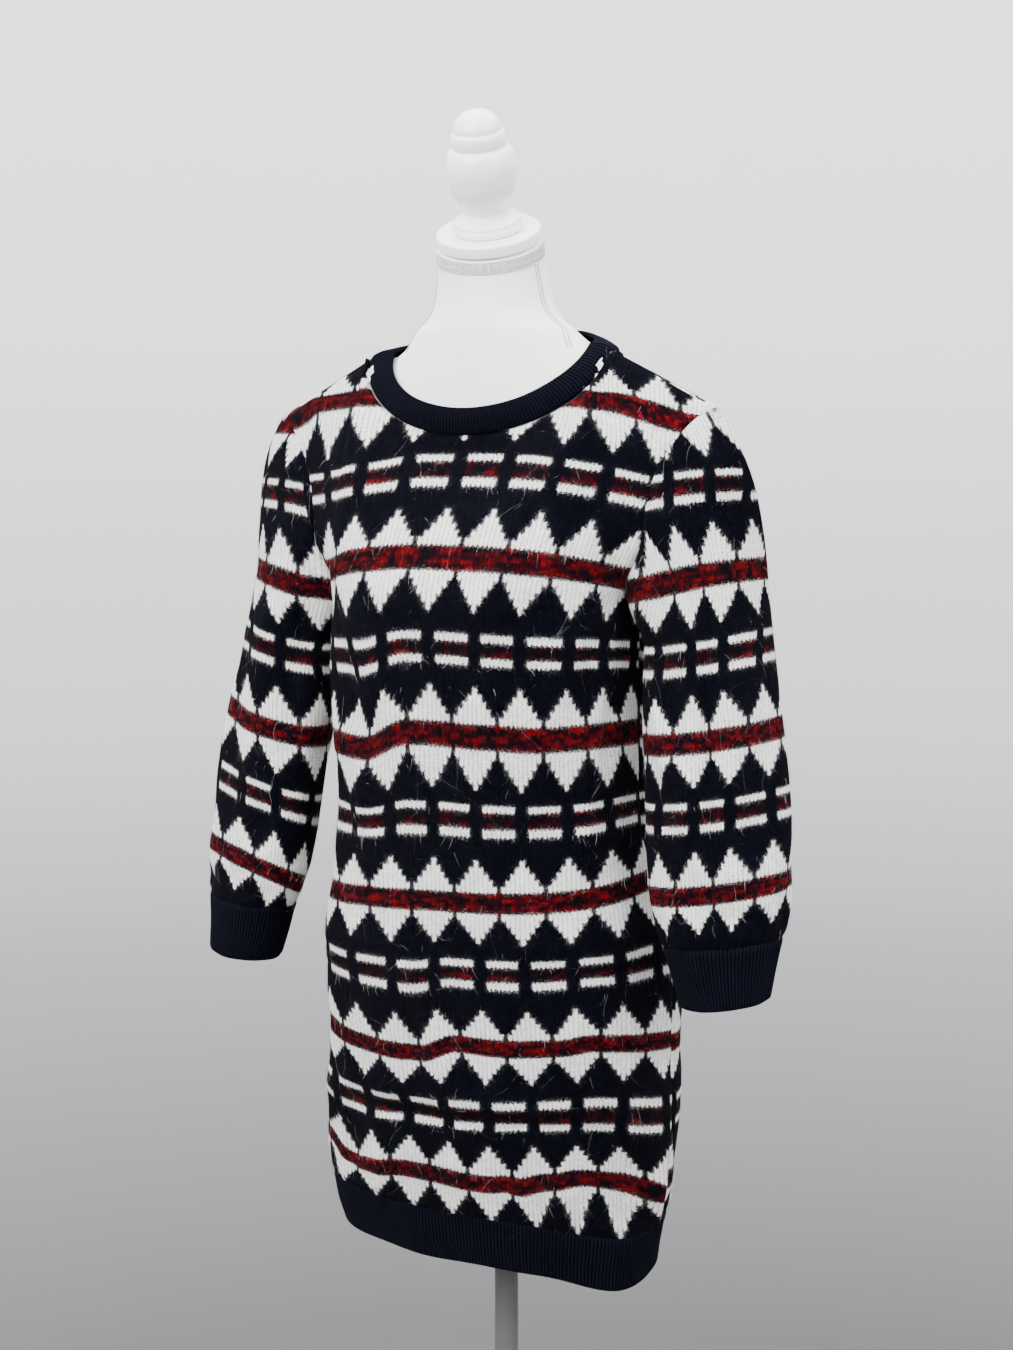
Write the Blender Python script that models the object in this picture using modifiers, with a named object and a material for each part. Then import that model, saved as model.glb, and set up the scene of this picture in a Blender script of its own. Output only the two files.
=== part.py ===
"""Sweater dress worn on a limbless dress form.

Frame: metres, +Z up, the form's front faces -Y, the wearer's left is +X,
and the origin is the middle of the foot's underside, on the floor.

The dress is made of knitted walls: a front, a back, two set-in sleeves and
ribbed bands at the neck, hem and cuffs. Every wall is worked out from the
section tables below, then given its thickness towards the inside. The form
is the same torso, drawn in, so that it stays clear of the cloth.
"""
from math import cos, pi, radians, sin

import bpy
import numpy as np

# ---------------------------------------------------------------- sizes, m
CLOTH = 0.0028            # wall of the knitted fabric
RIB = 0.0032              # wall of the ribbed bands
SEAM_GAP = 0.0003         # between pieces at a seam
UNDERARM_Z = 1.096
RIB_Z = 0.553             # where the hem rib is sewn on
HEM_Z = 0.508
NECK_U = 0.55             # share of a panel's half width that the neckline takes
NECK_HALF = 0.122         # neckline seam, middle to shoulder
SHOULDER_OUT = 0.219      # shoulder point from the middle
NECK_POINT_Z = 1.3205
SHOULDER_Z = 1.270
SHOULDER_Y = -0.033
CUFF_SEAM_Z = 0.815
FORM_BOTTOM_Z = 0.615
FORM_GAP = 0.0029         # cloth to form where the cloth rests
POLE_R = 0.0110
BASE_R = 0.170
BASE_H = 0.018
CAP_R = 0.0470
CAP_H = 0.0110
CAP_TOP = (0.002, -0.040, 1.430)      # middle of the cap's upper face
CAP_AXIS = (0.115, -0.445, 0.90)      # the cap sits tipped forward on the neck

# sections of the skirt and bodice: height, sideways shift, half width, front, back,
# and how square the front half of the oval is (2 is a plain ellipse)
BODY = [
    # z,     shift,  half,   front,  back,  square
    (0.508, -0.007, 0.1570, -0.092, 0.088, 2.10),
    (0.530, -0.009, 0.1625, -0.096, 0.091, 2.10),
    (0.553, -0.009, 0.1665, -0.100, 0.096, 2.10),
    (0.590, -0.007, 0.1710, -0.109, 0.106, 2.10),
    (0.640, -0.003, 0.1715, -0.119, 0.116, 2.18),
    (0.690, -0.001, 0.1685, -0.127, 0.122, 2.25),
    (0.745, 0.000, 0.1690, -0.135, 0.128, 2.30),
    (0.790, 0.000, 0.1680, -0.139, 0.126, 2.32),
    (0.820, 0.000, 0.1620, -0.140, 0.121, 2.32),
    (0.850, 0.000, 0.1550, -0.140, 0.114, 2.32),
    (0.880, 0.000, 0.1485, -0.140, 0.106, 2.35),
    (0.917, 0.000, 0.1445, -0.140, 0.099, 2.40),
    (0.963, 0.000, 0.1440, -0.142, 0.094, 2.50),
    (1.018, 0.000, 0.1425, -0.145, 0.098, 2.62),
    (1.069, 0.000, 0.1435, -0.146, 0.103, 2.65),
    (1.096, 0.000, 0.1430, -0.146, 0.107, 2.65),
    (1.125, 0.000, 0.1440, -0.143, 0.109, 2.60),
]
BACK_SQUARE = 2.08
# the hem hangs lower at the wearer's left front: angle from the front in degrees, drop
HEM_DROP = [
    (-180.0, 0.000),
    (-90.0, 0.001),
    (-45.0, 0.000),
    (0.0, 0.002),
    (30.0, 0.007),
    (65.0, 0.022),
    (95.0, 0.014),
    (140.0, 0.003),
    (180.0, 0.000),
]
# armhole edges, from underarm (share 0) to shoulder point (share 1)
ARM_FRONT = [
    # share, out,    fore,    z,     reach
    (0.00, 0.1430, -0.0190, 1.096, 1.000),
    (0.10, 0.1425, -0.0440, 1.101, 0.920),
    (0.20, 0.1470, -0.0620, 1.119, 0.850),
    (0.35, 0.1630, -0.0700, 1.150, 0.830),
    (0.50, 0.1670, -0.0670, 1.185, 0.860),
    (0.65, 0.1740, -0.0620, 1.214, 0.900),
    (0.80, 0.1880, -0.0535, 1.240, 0.950),
    (0.92, 0.2055, -0.0440, 1.261, 0.985),
    (1.00, 0.2190, -0.0330, 1.270, 1.000),
]
ARM_BACK = [
    # share, out,    fore,    z,     reach
    (0.00, 0.1430, -0.0190, 1.096, 1.000),
    (0.10, 0.1470, 0.0100, 1.100, 0.920),
    (0.20, 0.1540, 0.0320, 1.118, 0.870),
    (0.35, 0.1660, 0.0490, 1.150, 0.850),
    (0.50, 0.1750, 0.0500, 1.185, 0.870),
    (0.65, 0.1830, 0.0410, 1.216, 0.910),
    (0.80, 0.1950, 0.0210, 1.244, 0.950),
    (0.92, 0.2095, -0.0080, 1.262, 0.985),
    (1.00, 0.2190, -0.0330, 1.270, 1.000),
]
# sleeve sections, oval, hanging: turn is the oval's turn seen from above,
# lift is how much higher its outer tip is than its middle
SLEEVE = [
    # z,     out,    fore,   major,  minor,  turn, lift
    (1.035, 0.2140, -0.033, 0.0580, 0.0460, 28.0, 0.000),
    (0.970, 0.2225, -0.041, 0.0612, 0.0470, 28.0, 0.001),
    (0.900, 0.2295, -0.049, 0.0622, 0.0455, 28.0, 0.002),
    (0.850, 0.2350, -0.056, 0.0600, 0.0430, 28.0, 0.004),
    (0.812, 0.2390, -0.062, 0.0505, 0.0370, 28.0, 0.005),
    (0.790, 0.2408, -0.064, 0.0448, 0.0350, 28.0, 0.005),
    (0.765, 0.2440, -0.067, 0.0380, 0.0332, 28.0, 0.005),
]
# the form's neck above the collar: height, fore, half width, half depth, tip share
NECK = [
    # z,      fore,    wide,   deep,   tip
    (1.3420, -0.0220, 0.0745, 0.0560, 0.06),
    (1.3540, -0.0230, 0.0605, 0.0540, 0.16),
    (1.3680, -0.0245, 0.0532, 0.0520, 0.34),
    (1.3850, -0.0265, 0.0500, 0.0505, 0.60),
    (1.4050, -0.0310, 0.0478, 0.0482, 0.86),
]
# how far the form's skin lies inside the cloth's outer face below the yoke
FORM_INSET = [
    # z,     front,  back
    (0.615, 0.0200, 0.0200),
    (0.730, 0.0130, 0.0120),
    (0.850, 0.0150, 0.0130),
    (0.950, 0.0170, 0.0150),
    (1.060, 0.0090, 0.0100),
    (1.125, 0.0060, 0.0060),
]
# the turned finial, from the cap's face upwards
FINIAL = [
    # h,      r
    (0.0004, 0.0308),
    (0.0014, 0.0316),
    (0.0052, 0.0318),
    (0.0062, 0.0308),
    (0.0070, 0.0304),
    (0.0095, 0.0300),
    (0.0108, 0.0286),
    (0.0122, 0.0244),
    (0.0145, 0.0212),
    (0.0185, 0.0196),
    (0.0230, 0.0204),
    (0.0290, 0.0244),
    (0.0370, 0.0286),
    (0.0460, 0.0308),
    (0.0570, 0.0316),
    (0.0670, 0.0301),
    (0.0735, 0.0268),
    (0.0752, 0.0244),
    (0.0765, 0.0236),
    (0.0780, 0.0241),
    (0.0820, 0.0245),
    (0.0860, 0.0241),
    (0.0888, 0.0230),
    (0.0900, 0.0216),
    (0.0940, 0.0210),
    (0.0985, 0.0189),
    (0.1030, 0.0149),
    (0.1060, 0.0100),
    (0.1073, 0.0050),
    (0.1078, 0.0000),
]

# mesh fineness
SIDE_COLS, NECK_COLS = 4, 10
SKIRT_ROWS, YOKE_ROWS, CAP_ROWS, SLEEVE_ROWS = 9, 9, 5, 5


# ---------------------------------------------------------------- tables
def curve(rows, column, at):
    """A smooth curve with no overshoot through a table's first column and this one."""
    t = np.array([row[0] for row in rows], float)
    y = np.array([row[column] for row in rows], float)
    if t[0] > t[-1]:
        t, y = t[::-1], y[::-1]
    step = np.diff(t)
    rise = np.diff(y) / step
    slope = np.zeros(len(t))
    slope[0], slope[-1] = rise[0], rise[-1]
    for i in range(1, len(t) - 1):
        if rise[i - 1] * rise[i] > 0:
            a, b = 2 * step[i] + step[i - 1], step[i] + 2 * step[i - 1]
            slope[i] = (a + b) / (a / rise[i - 1] + b / rise[i])
    at = min(max(at, t[0]), t[-1])
    i = min(max(int(np.searchsorted(t, at)) - 1, 0), len(step) - 1)
    q = (at - t[i]) / step[i]
    return ((2 * q**3 - 3 * q**2 + 1) * y[i] + (q**3 - 2 * q**2 + q) * step[i] * slope[i]
            + (3 * q**2 - 2 * q**3) * y[i + 1] + (q**3 - q**2) * step[i] * slope[i + 1])


def ease(t):
    t = min(max(t, 0.0), 1.0)
    return t * t * (3 - 2 * t)


def unit(v):
    return v / np.linalg.norm(v)


# ---------------------------------------------------------------- the garment's form
def skirt_point(u, z, back):
    """Below the underarm: u runs -1..1 from one side seam to the other."""
    phi = u * pi / 2
    half, front, rear = curve(BODY, 2, z), curve(BODY, 3, z), curve(BODY, 4, z)
    deep = (rear - front) / 2
    angle = np.degrees(phi)
    if back:
        angle = (180 - angle) if u >= 0 else (-180 - angle)
    drop = curve(HEM_DROP, 1, angle) * ease((0.70 - z) / (0.70 - HEM_Z))
    square = BACK_SQUARE if back else curve(BODY, 5, z)
    swell = (abs(sin(phi))**square + abs(cos(phi))**square)**(-1 / square)
    return np.array([curve(BODY, 1, z) + half * swell * sin(phi),
                     (front + rear) / 2 + (deep if back else -deep) * swell * cos(phi),
                     z - drop])


def top_point(u, back):
    """A panel's top edge: the neckline in the middle, a shoulder seam on each side."""
    a, side = abs(u), (1 if u >= 0 else -1)
    if a <= NECK_U:
        c, x = cos(a / NECK_U * pi / 2), NECK_HALF * sin(a / NECK_U * pi / 2)
        if back:
            return np.array([side * x, -0.035 + 0.093 * c, NECK_POINT_Z + 0.004 * c])
        return np.array([side * x, -0.035 - 0.046 * c, NECK_POINT_Z - 0.074 * max(c, 0.0)**1.1])
    t = (a - NECK_U) / (1 - NECK_U)
    return np.array([side * (NECK_HALF + (SHOULDER_OUT - NECK_HALF) * t),
                     -0.035 + 0.002 * t,
                     NECK_POINT_Z + (SHOULDER_Z - NECK_POINT_Z) * t])


def column(u, w, back):
    """A panel's line from the underarm level up to its top edge, leaning in over the shoulder."""
    a, side = abs(u), (1 if u >= 0 else -1)
    low, high = skirt_point(u, UNDERARM_Z, back), top_point(u, back)
    k = ease(a / NECK_U)
    if back:
        start = np.array([0.010 * side * a, -0.002, 0.070])
        end = (1 - k) * np.array([0, -0.012, 0.045]) + k * np.array([0, -0.042, 0.014])
    else:
        start = np.array([0.010 * side * a, 0.006 * (1 - a), 0.050])
        end = (1 - k) * np.array([0, 0.013, 0.045]) + k * np.array([0, 0.042, 0.014])
    q = 1 - w
    return q**3 * low + 3 * q * q * w * (low + start) + 3 * q * w * w * (high - end) + w**3 * high


def yoke_point(u, w, back):
    """Above the underarm: w runs from 0 there to 1 at the shoulder seam or neckline."""
    rows, side = (ARM_BACK if back else ARM_FRONT), (1 if u >= 0 else -1)
    reach = curve(rows, 4, w)
    edge = np.array([side * curve(rows, 1, w), curve(rows, 2, w), curve(rows, 3, w)])
    return column(u * reach, w, back) + abs(u)**3 * (edge - column(side * reach, w, back))


def band_point(u, r, back):
    """The neckband: r runs from 0 at its seam to 1 at its free edge."""
    a, side = abs(u), (1 if u >= 0 else -1)
    s, c = sin(a / NECK_U * pi / 2), cos(a / NECK_U * pi / 2)
    if back:
        free = np.array([side * 0.0985 * s, -0.032 + 0.077 * c, 1.3270 + 0.020 * c])
    else:
        free = np.array([side * 0.0985 * s, -0.032 - 0.051 * c, 1.3270 - 0.057 * max(c, 0.0)**1.1])
    crown = 0.003 * np.array([side * 0.5 * s, (0.8 if back else -0.9) * c, 0.8 - 0.35 * c])
    return (1 - r) * top_point(u, back) + r * free + 4 * r * (1 - r) * crown


def sleeve_point(psi, z, side):
    """A hanging sleeve: psi is 0 at the outer tip, pi/2 in front, pi at the inner tip."""
    out, fore, major, minor, turn, lift = (curve(SLEEVE, i, z) for i in range(1, 7))
    a, b, t = major * cos(psi), -minor * sin(psi), radians(turn)
    return np.array([side * (out + a * cos(t) - b * sin(t)),
                     fore + a * sin(t) + b * cos(t), z + lift * cos(psi)])


def armhole(steps):
    """The armhole's points on +X and their psi: shoulder, front edge, underarm, back edge."""
    shares = [i / steps for i in range(steps + 1)]
    edges = [[yoke_point(1.0, w, back) for w in shares] for back in (False, True)]
    runs = []
    for edge in edges:
        run = np.concatenate([[0.0], np.cumsum(np.linalg.norm(np.diff(np.array(edge), axis=0), axis=1))])
        runs.append(run / run[-1])
    down = range(steps, -1, -1)
    up = range(1, steps)
    points = [edges[0][i] for i in down] + [edges[1][i] for i in up]
    psis = [pi * (1 - runs[0][i]) for i in down] + [pi * (1 + runs[1][i]) for i in up]
    return points, psis


def cap_point(point, psi, q, side):
    """The sleeve's cap, from the armhole (q = 0) to the sleeve's first section (q = 1)."""
    first = SLEEVE[0][0]
    low = sleeve_point(psi, first, 1)
    down = unit(low - sleeve_point(psi, first - 0.004, 1))
    span = np.linalg.norm(low - point)
    over, under = max(0.0, cos(psi))**1.5, max(0.0, -cos(psi))**2
    flat = 1 - over - under
    start = unit(np.array([0.50 * over + 0.35 * under + 0.25 * flat, -0.15 * sin(psi), -0.70]))
    p = 1 - q
    bend = (p**3 * point + 3 * p * p * q * (point + start * span * 0.38)
            + 3 * p * q * q * (low + down * span * 0.36) + q**3 * low)
    return np.array([side * bend[0], bend[1], bend[2]])


# ---------------------------------------------------------------- walls
def columns():
    side = [i / SIDE_COLS for i in range(SIDE_COLS + 1)]
    left = [-1 + (1 - NECK_U) * s for s in side]
    neck = [-NECK_U + 2 * NECK_U * i / NECK_COLS for i in range(1, NECK_COLS)]
    right = [NECK_U + (1 - NECK_U) * s for s in side]
    return left + neck + right


def panel_grid(back):
    us = columns()
    rows = [[skirt_point(u, RIB_Z + (UNDERARM_Z - RIB_Z) * i / SKIRT_ROWS, back) for u in us]
            for i in range(SKIRT_ROWS + 1)]
    rows += [[yoke_point(u, i / YOKE_ROWS, back) for u in us] for i in range(1, YOKE_ROWS + 1)]
    return np.array(rows)


def around(make):
    """A closed row of points from the front's columns and then the back's."""
    us = columns()
    return [make(u, False) for u in us] + [make(u, True) for u in us[-2:0:-1]]


def neck_around(make):
    us = [u for u in columns() if abs(u) <= NECK_U + 1e-9]
    return [make(u, False) for u in us] + [make(u, True) for u in us[-2:0:-1]]


def sleeve_grid(side):
    points, psis = armhole(YOKE_ROWS)
    rows = [[cap_point(p, s, i / CAP_ROWS, side) for p, s in zip(points, psis)]
            for i in range(CAP_ROWS + 1)]
    first = SLEEVE[0][0]
    rows += [[sleeve_point(s, first + (CUFF_SEAM_Z - first) * i / SLEEVE_ROWS, side) for s in psis]
             for i in range(1, SLEEVE_ROWS + 1)]
    return np.array(rows)


def cuff_grid(side):
    _, psis = armhole(YOKE_ROWS)
    last = SLEEVE[-1][0]
    return np.array([[sleeve_point(s, CUFF_SEAM_Z + (last - CUFF_SEAM_Z) * i / 2, side) for s in psis]
                     for i in range(3)])


def cloth_grids():
    """name: (grid of outer points, closed round, wall, which edges are seams)."""
    band = np.array([neck_around(lambda u, b, r=i / 3: band_point(u, r, b)) for i in range(4)])
    hem = np.array([around(lambda u, b, z=HEM_Z + (RIB_Z - HEM_Z) * i / 2: skirt_point(u, z, b))
                    for i in range(3)])
    return {
        "front_panel": (panel_grid(False), False, CLOTH, "bottom top left right"),
        "back_panel": (panel_grid(True), False, CLOTH, "bottom top left right"),
        "sleeve_left": (sleeve_grid(1), True, CLOTH, "bottom top"),
        "sleeve_right": (sleeve_grid(-1), True, CLOTH, "bottom top"),
        "neckband": (band, True, RIB, "bottom"),
        "hem_rib": (hem, True, RIB, "top"),
        "cuff_left": (cuff_grid(1), True, RIB, "bottom"),
        "cuff_right": (cuff_grid(-1), True, RIB, "bottom"),
    }


def outward(grid, closed):
    """1 if a grid's faces, as wound below, point away from the piece's own inside."""
    middle = grid.reshape(-1, 3).mean(0)
    middle[1] = min(max(middle[1], -0.02), 0.0) if not closed else middle[1]
    r, c = grid.shape[0] // 2, grid.shape[1] // 3
    n = np.cross(grid[r, c + 1] - grid[r, c], grid[r + 1, c] - grid[r, c])
    return 1 if np.dot(n, grid[r, c] - middle) > 0 else -1


def shared_normals(grids):
    """Outward normals that two pieces share along a seam, so that their edges lie parallel."""
    total = {}
    keys = {}
    for name, (grid, closed, _, _) in grids.items():
        sign = outward(grid, closed)
        rows, cols = grid.shape[:2]
        keys[name] = [[tuple(np.round(grid[r, c], 6)) for c in range(cols)] for r in range(rows)]
        for r in range(rows - 1):
            for c in range(cols if closed else cols - 1):
                d = (c + 1) % cols
                n = sign * np.cross(grid[r + 1, d] - grid[r, c], grid[r + 1, c] - grid[r, d])
                for rr, cc in ((r, c), (r, d), (r + 1, d), (r + 1, c)):
                    key = keys[name][rr][cc]
                    total[key] = total.get(key, 0) + n
    return {name: np.array([[unit(total[key]) for key in row] for row in rows])
            for name, rows in keys.items()}


def pull_in(grid, normals, closed, seams):
    """Draws each seam edge back by half the seam's gap, square to the seam and within the cloth."""
    out = grid.copy()

    def square_to(edge, inside, n, ring):
        if ring:
            along = np.roll(edge, -1, axis=0) - np.roll(edge, 1, axis=0)
        else:
            along = np.gradient(edge, axis=0)
        away = np.cross(n, along)
        away /= np.linalg.norm(away, axis=-1, keepdims=True)
        if np.sum(away * (inside - edge)) < 0:
            away = -away
        return away * SEAM_GAP / 2

    if "bottom" in seams:
        out[0] += square_to(grid[0], grid[1], normals[0], closed)
    if "top" in seams:
        # a panel's top edge turns a corner where each shoulder seam meets the neckline
        last = grid.shape[1] - 1
        breaks = [0, last] if closed else [0, SIDE_COLS, last - SIDE_COLS, last]
        for a, b in zip(breaks, breaks[1:]):
            run = slice(a, b + 1)
            out[-1, run] += square_to(grid[-1, run], grid[-2, run], normals[-1, run], closed)
    if not closed and "left" in seams:
        out[:, 0] += square_to(grid[:, 0], grid[:, 1], normals[:, 0], False)
    if not closed and "right" in seams:
        out[:, -1] += square_to(grid[:, -1], grid[:, -2], normals[:, -1], False)
    return out


def add_mesh(name, points, faces, material):
    mesh = bpy.data.meshes.new(name)
    mesh.from_pydata([tuple(p) for p in points], [], faces)
    corner = np.array([points[f[0]] for f in faces])
    volume = 0.0
    for f, a in zip(faces, corner):
        for i in range(1, len(f) - 1):
            volume += np.dot(a, np.cross(points[f[i]], points[f[i + 1]]))
    if volume < 0:
        mesh.flip_normals()
    mesh.shade_smooth()
    mesh.materials.append(material)
    obj = bpy.data.objects.new(name, mesh)
    collection.objects.link(obj)
    return obj


def wall(name, grid, normals, closed, thick, seams, material):
    """A closed wall: the outer grid, the same grid moved in, and the edges between."""
    outer = pull_in(grid, normals, closed, seams)
    inner = outer - thick * normals
    rows, cols = grid.shape[:2]
    points = np.concatenate([outer.reshape(-1, 3), inner.reshape(-1, 3)])
    back = rows * cols

    def at(r, c, layer=0):
        return layer * back + r * cols + c % cols

    faces = []
    for r in range(rows - 1):
        for c in range(cols if closed else cols - 1):
            faces.append((at(r, c), at(r, c + 1), at(r + 1, c + 1), at(r + 1, c)))
            faces.append((at(r, c, 1), at(r + 1, c, 1), at(r + 1, c + 1, 1), at(r, c + 1, 1)))

    def rim(a, b, b_in, a_in):
        # both pieces at a seam split their edges the same way, so that twisted edges stay parallel
        pick = np.array([0.11, 1.0, 0.37])
        if np.dot(points[a], pick) > np.dot(points[b], pick):
            faces.extend([(a, b, b_in), (a, b_in, a_in)])
        else:
            faces.extend([(a, b, a_in), (b, b_in, a_in)])

    for c in range(cols if closed else cols - 1):
        rim(at(0, c + 1), at(0, c), at(0, c, 1), at(0, c + 1, 1))
        rim(at(rows - 1, c), at(rows - 1, c + 1), at(rows - 1, c + 1, 1), at(rows - 1, c, 1))
    if not closed:
        for r in range(rows - 1):
            rim(at(r, 0), at(r + 1, 0), at(r + 1, 0, 1), at(r, 0, 1))
            rim(at(r + 1, cols - 1), at(r, cols - 1), at(r, cols - 1, 1), at(r + 1, cols - 1, 1))
    return add_mesh(name, points, faces, material)


# ---------------------------------------------------------------- the form
def cap_frame():
    axis = unit(np.array(CAP_AXIS))
    side = unit(np.cross(np.array([0.0, 1.0, 0.0]), axis))
    return side, np.cross(axis, side), axis


def neck_rings(count):
    """Rings of the neck, each with count points, from the collar up to the cap."""
    side, fore, axis = cap_frame()
    rings = []
    for z, y, wide, deep, tip in NECK:
        up = unit((1 - tip) * np.array([0.0, 0.0, 1.0]) + tip * axis)
        across = unit(np.cross(np.array([0.0, 1.0, 0.0]), up))
        ahead = np.cross(up, across)
        rings.append((np.array([0.0, y, z]), wide * across, deep * ahead))
    top = np.array(CAP_TOP) - axis * (CAP_H + SEAM_GAP)
    rings.append((top - axis * 0.0015, CAP_R * side, CAP_R * fore))
    rings.append((top, (CAP_R - 0.0012) * side, (CAP_R - 0.0012) * fore))
    return [[m + a * sin(t) - b * cos(t) for t in (2 * pi * i / count for i in range(count))]
            for m, a, b in rings]


def build_form(grids, normals, material):
    """The torso: the yoke's own form drawn in by the wall and a little air, a plainer torso below it, and the neck."""
    us = columns()
    cols, low = len(us), SKIRT_ROWS
    halves = []
    for back, name in ((False, "front_panel"), (True, "back_panel")):
        rows = []
        for i in range(8):
            z = FORM_BOTTOM_Z + (UNDERARM_Z - FORM_BOTTOM_Z) * i / 7
            inset = CLOTH + FORM_GAP + curve(FORM_INSET, 2 if back else 1, z)
            ring = []
            for u in us:
                p = skirt_point(u, z, back)
                p[2] = z
                around_y = (curve(BODY, 3, z) + curve(BODY, 4, z)) / 2
                flat = np.array([p[0] / curve(BODY, 2, z)**2, (p[1] - around_y) / ((curve(BODY, 4, z) - curve(BODY, 3, z)) / 2)**2, 0.0])
                side_inset = CLOTH + FORM_GAP + curve(FORM_INSET, 1, z) * 0.5 + curve(FORM_INSET, 2, z) * 0.5
                ring.append(p - unit(flat) * ((1 - abs(u)) * inset + abs(u) * side_inset))
            rows.append(ring)
        for i in range(1, YOKE_ROWS + 1):
            w = i / YOKE_ROWS
            ring = []
            for u in us:
                narrow = 1 - 0.10 * ease(w) if abs(u) > NECK_U else 1.0
                v = (1 if u >= 0 else -1) * (NECK_U + (abs(u) - NECK_U) * (1 - 0.28 * ease(w * 1.5))) if abs(u) > NECK_U else u
                h = 1e-3
                p = yoke_point(v, w, back)
                pu = yoke_point(v + (h if v < 0 else -h), w, back) - p
                pw = yoke_point(v, w - h, back) - p
                n = unit(np.cross(pu, pw))
                if np.dot(n, p - np.array([0.0, -0.02, 1.12])) < 0:
                    n = -n
                air = CLOTH + FORM_GAP + 0.0060 * (1 - ease(w * 2.2))
                if i == YOKE_ROWS and abs(u) <= NECK_U + 1e-9:
                    n = normals["back_panel" if back else "front_panel"][-1][us.index(u)]
                    air += 0.0022
                ring.append(p - n * air)
            rows.append(ring)
        halves.append(rows)
    front, rear = halves
    top = len(front) - 1
    # front and back meet along the shoulder and down the sides below the underarm
    for c in range(cols):
        if abs(us[c]) >= NECK_U - 1e-9:
            middle = (front[top][c] + rear[top][c]) / 2
            front[top][c] = rear[top][c] = middle
    for r in range(8):
        for c in (0, cols - 1):
            middle = (front[r][c] + rear[r][c]) / 2
            front[r][c] = rear[r][c] = middle
    points, index = [], {}

    def put(p):
        key = tuple(np.round(p, 6))
        if key not in index:
            index[key] = len(points)
            points.append(np.array(p))
        return index[key]

    faces = []

    def quad(a, b, c, d):
        ring = []
        for p in (a, b, c, d):
            i = put(p)
            if i not in ring:
                ring.append(i)
        if len(ring) > 2:
            faces.append(tuple(ring))

    for r in range(top):
        for c in range(cols - 1):
            quad(front[r][c], front[r][c + 1], front[r + 1][c + 1], front[r + 1][c])
            quad(rear[r][c + 1], rear[r][c], rear[r + 1][c], rear[r + 1][c + 1])
    # the rounded ends of the shoulders, where arms would join
    ends = 4
    for c, out in ((0, -1), (cols - 1, 1)):
        strips = []
        for r in range(7, top + 1):
            a, b = front[r][c], rear[r][c]
            bulge = 0.016 * sin(pi * min(1.0, (r - 7) / (top - 7)))
            strips.append([a + (b - a) * k / ends + np.array([out * bulge * sin(pi * k / ends), 0, 0])
                           for k in range(ends + 1)])
        for i in range(len(strips) - 1):
            for k in range(ends):
                four = (strips[i][k], strips[i + 1][k], strips[i + 1][k + 1], strips[i][k + 1])
                quad(*(four if out < 0 else four[::-1]))
    # the neck
    cs = [c for c in range(cols) if abs(us[c]) <= NECK_U + 1e-9]
    base = [front[top][c] for c in cs] + [rear[top][c] for c in cs[-2:0:-1]]
    count = len(base)

    def under_band(u, back, r, inset):
        """A point of the neck's skin, below the neckband by the wall and some air."""
        h = 1e-3
        p = band_point(u, r, back)
        pu = band_point(u + (h if u < 0 else -h), r, back) - p
        pr = band_point(u, r - h, back) - p
        n = unit(np.cross(pu, pr))
        if np.dot(n, p - np.array([0.0, -0.03, 1.25])) < 0:
            n = -n
        return p - n * inset

    rings = [base]
    for r, inset in ((0.45, RIB + 0.0052), (1.00, RIB + 0.0048)):
        rings.append(neck_around(lambda u, b, r=r, inset=inset: under_band(u, b, r, inset)))
    turned = neck_rings(count)
    # the neck's points start at the front column on -X, a quarter turn back from the front
    quarter = (len(cs) - 1) // 2
    for ring in turned:
        rings.append([ring[(i - quarter) % count] for i in range(count)])
    for a, b in zip(rings, rings[1:]):
        for i in range(count):
            j = (i + 1) % count
            quad(a[i], a[j], b[j], b[i])
    faces.append(tuple(put(p) for p in rings[-1]))
    low_ring = [front[0][c] for c in range(cols)] + [rear[0][c] for c in range(cols - 2, 0, -1)]
    faces.append(tuple(put(p) for p in low_ring[::-1]))
    return add_mesh("torso_form", points, faces, material)


def turned(name, profile, material, steps, place=None, axis=None):
    """A turned solid: a closed profile of (r, h) swept round with a Screw modifier."""
    mesh = bpy.data.meshes.new(name)
    mesh.from_pydata([(r, 0.0, h) for r, h in profile], [(i, i + 1) for i in range(len(profile) - 1)], [])
    obj = bpy.data.objects.new(name, mesh)
    collection.objects.link(obj)
    screw = obj.modifiers.new("turn", "SCREW")
    screw.steps = screw.render_steps = steps
    screw.use_merge_vertices = True
    screw.merge_threshold = 0.00005
    screw.use_smooth_shade = True
    mesh.materials.append(material)
    if place is not None:
        obj.location = place
        up = unit(np.array(axis))
        tilt_y = np.arctan2(up[0], np.hypot(up[1], up[2]))
        tilt_x = np.arctan2(-up[1], up[2])
        obj.rotation_euler = (tilt_x, tilt_y, 0.0)
        obj.rotation_mode = "ZYX"
    return obj


def make_material(name, colour, roughness):
    material = bpy.data.materials.new(name)
    material.use_nodes = True
    shader = material.node_tree.nodes["Principled BSDF"]
    shader.inputs["Base Color"].default_value = (*colour, 1.0)
    shader.inputs["Roughness"].default_value = roughness
    shader.inputs["Metallic"].default_value = 0.0
    material.diffuse_color = (*colour, 1.0)
    return material


for old in list(bpy.data.objects):
    bpy.data.objects.remove(old)
collection = bpy.data.collections.new("sweater_dress_on_form")
bpy.context.scene.collection.children.link(collection)

knit = make_material("knit", (0.10, 0.10, 0.13), 0.95)
rib = make_material("rib_knit", (0.012, 0.015, 0.035), 0.95)
jersey = make_material("jersey", (0.80, 0.79, 0.76), 0.85)
wood = make_material("painted_wood", (0.80, 0.80, 0.82), 0.35)
tube = make_material("painted_tube", (0.30, 0.30, 0.29), 0.40)

grids = cloth_grids()
normals = shared_normals(grids)
for name, (grid, closed, thick, seams) in grids.items():
    wall(name, grid, normals[name], closed, thick, seams,
         knit if "panel" in name or "sleeve" in name else rib)

build_form(grids, normals, jersey)

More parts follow.
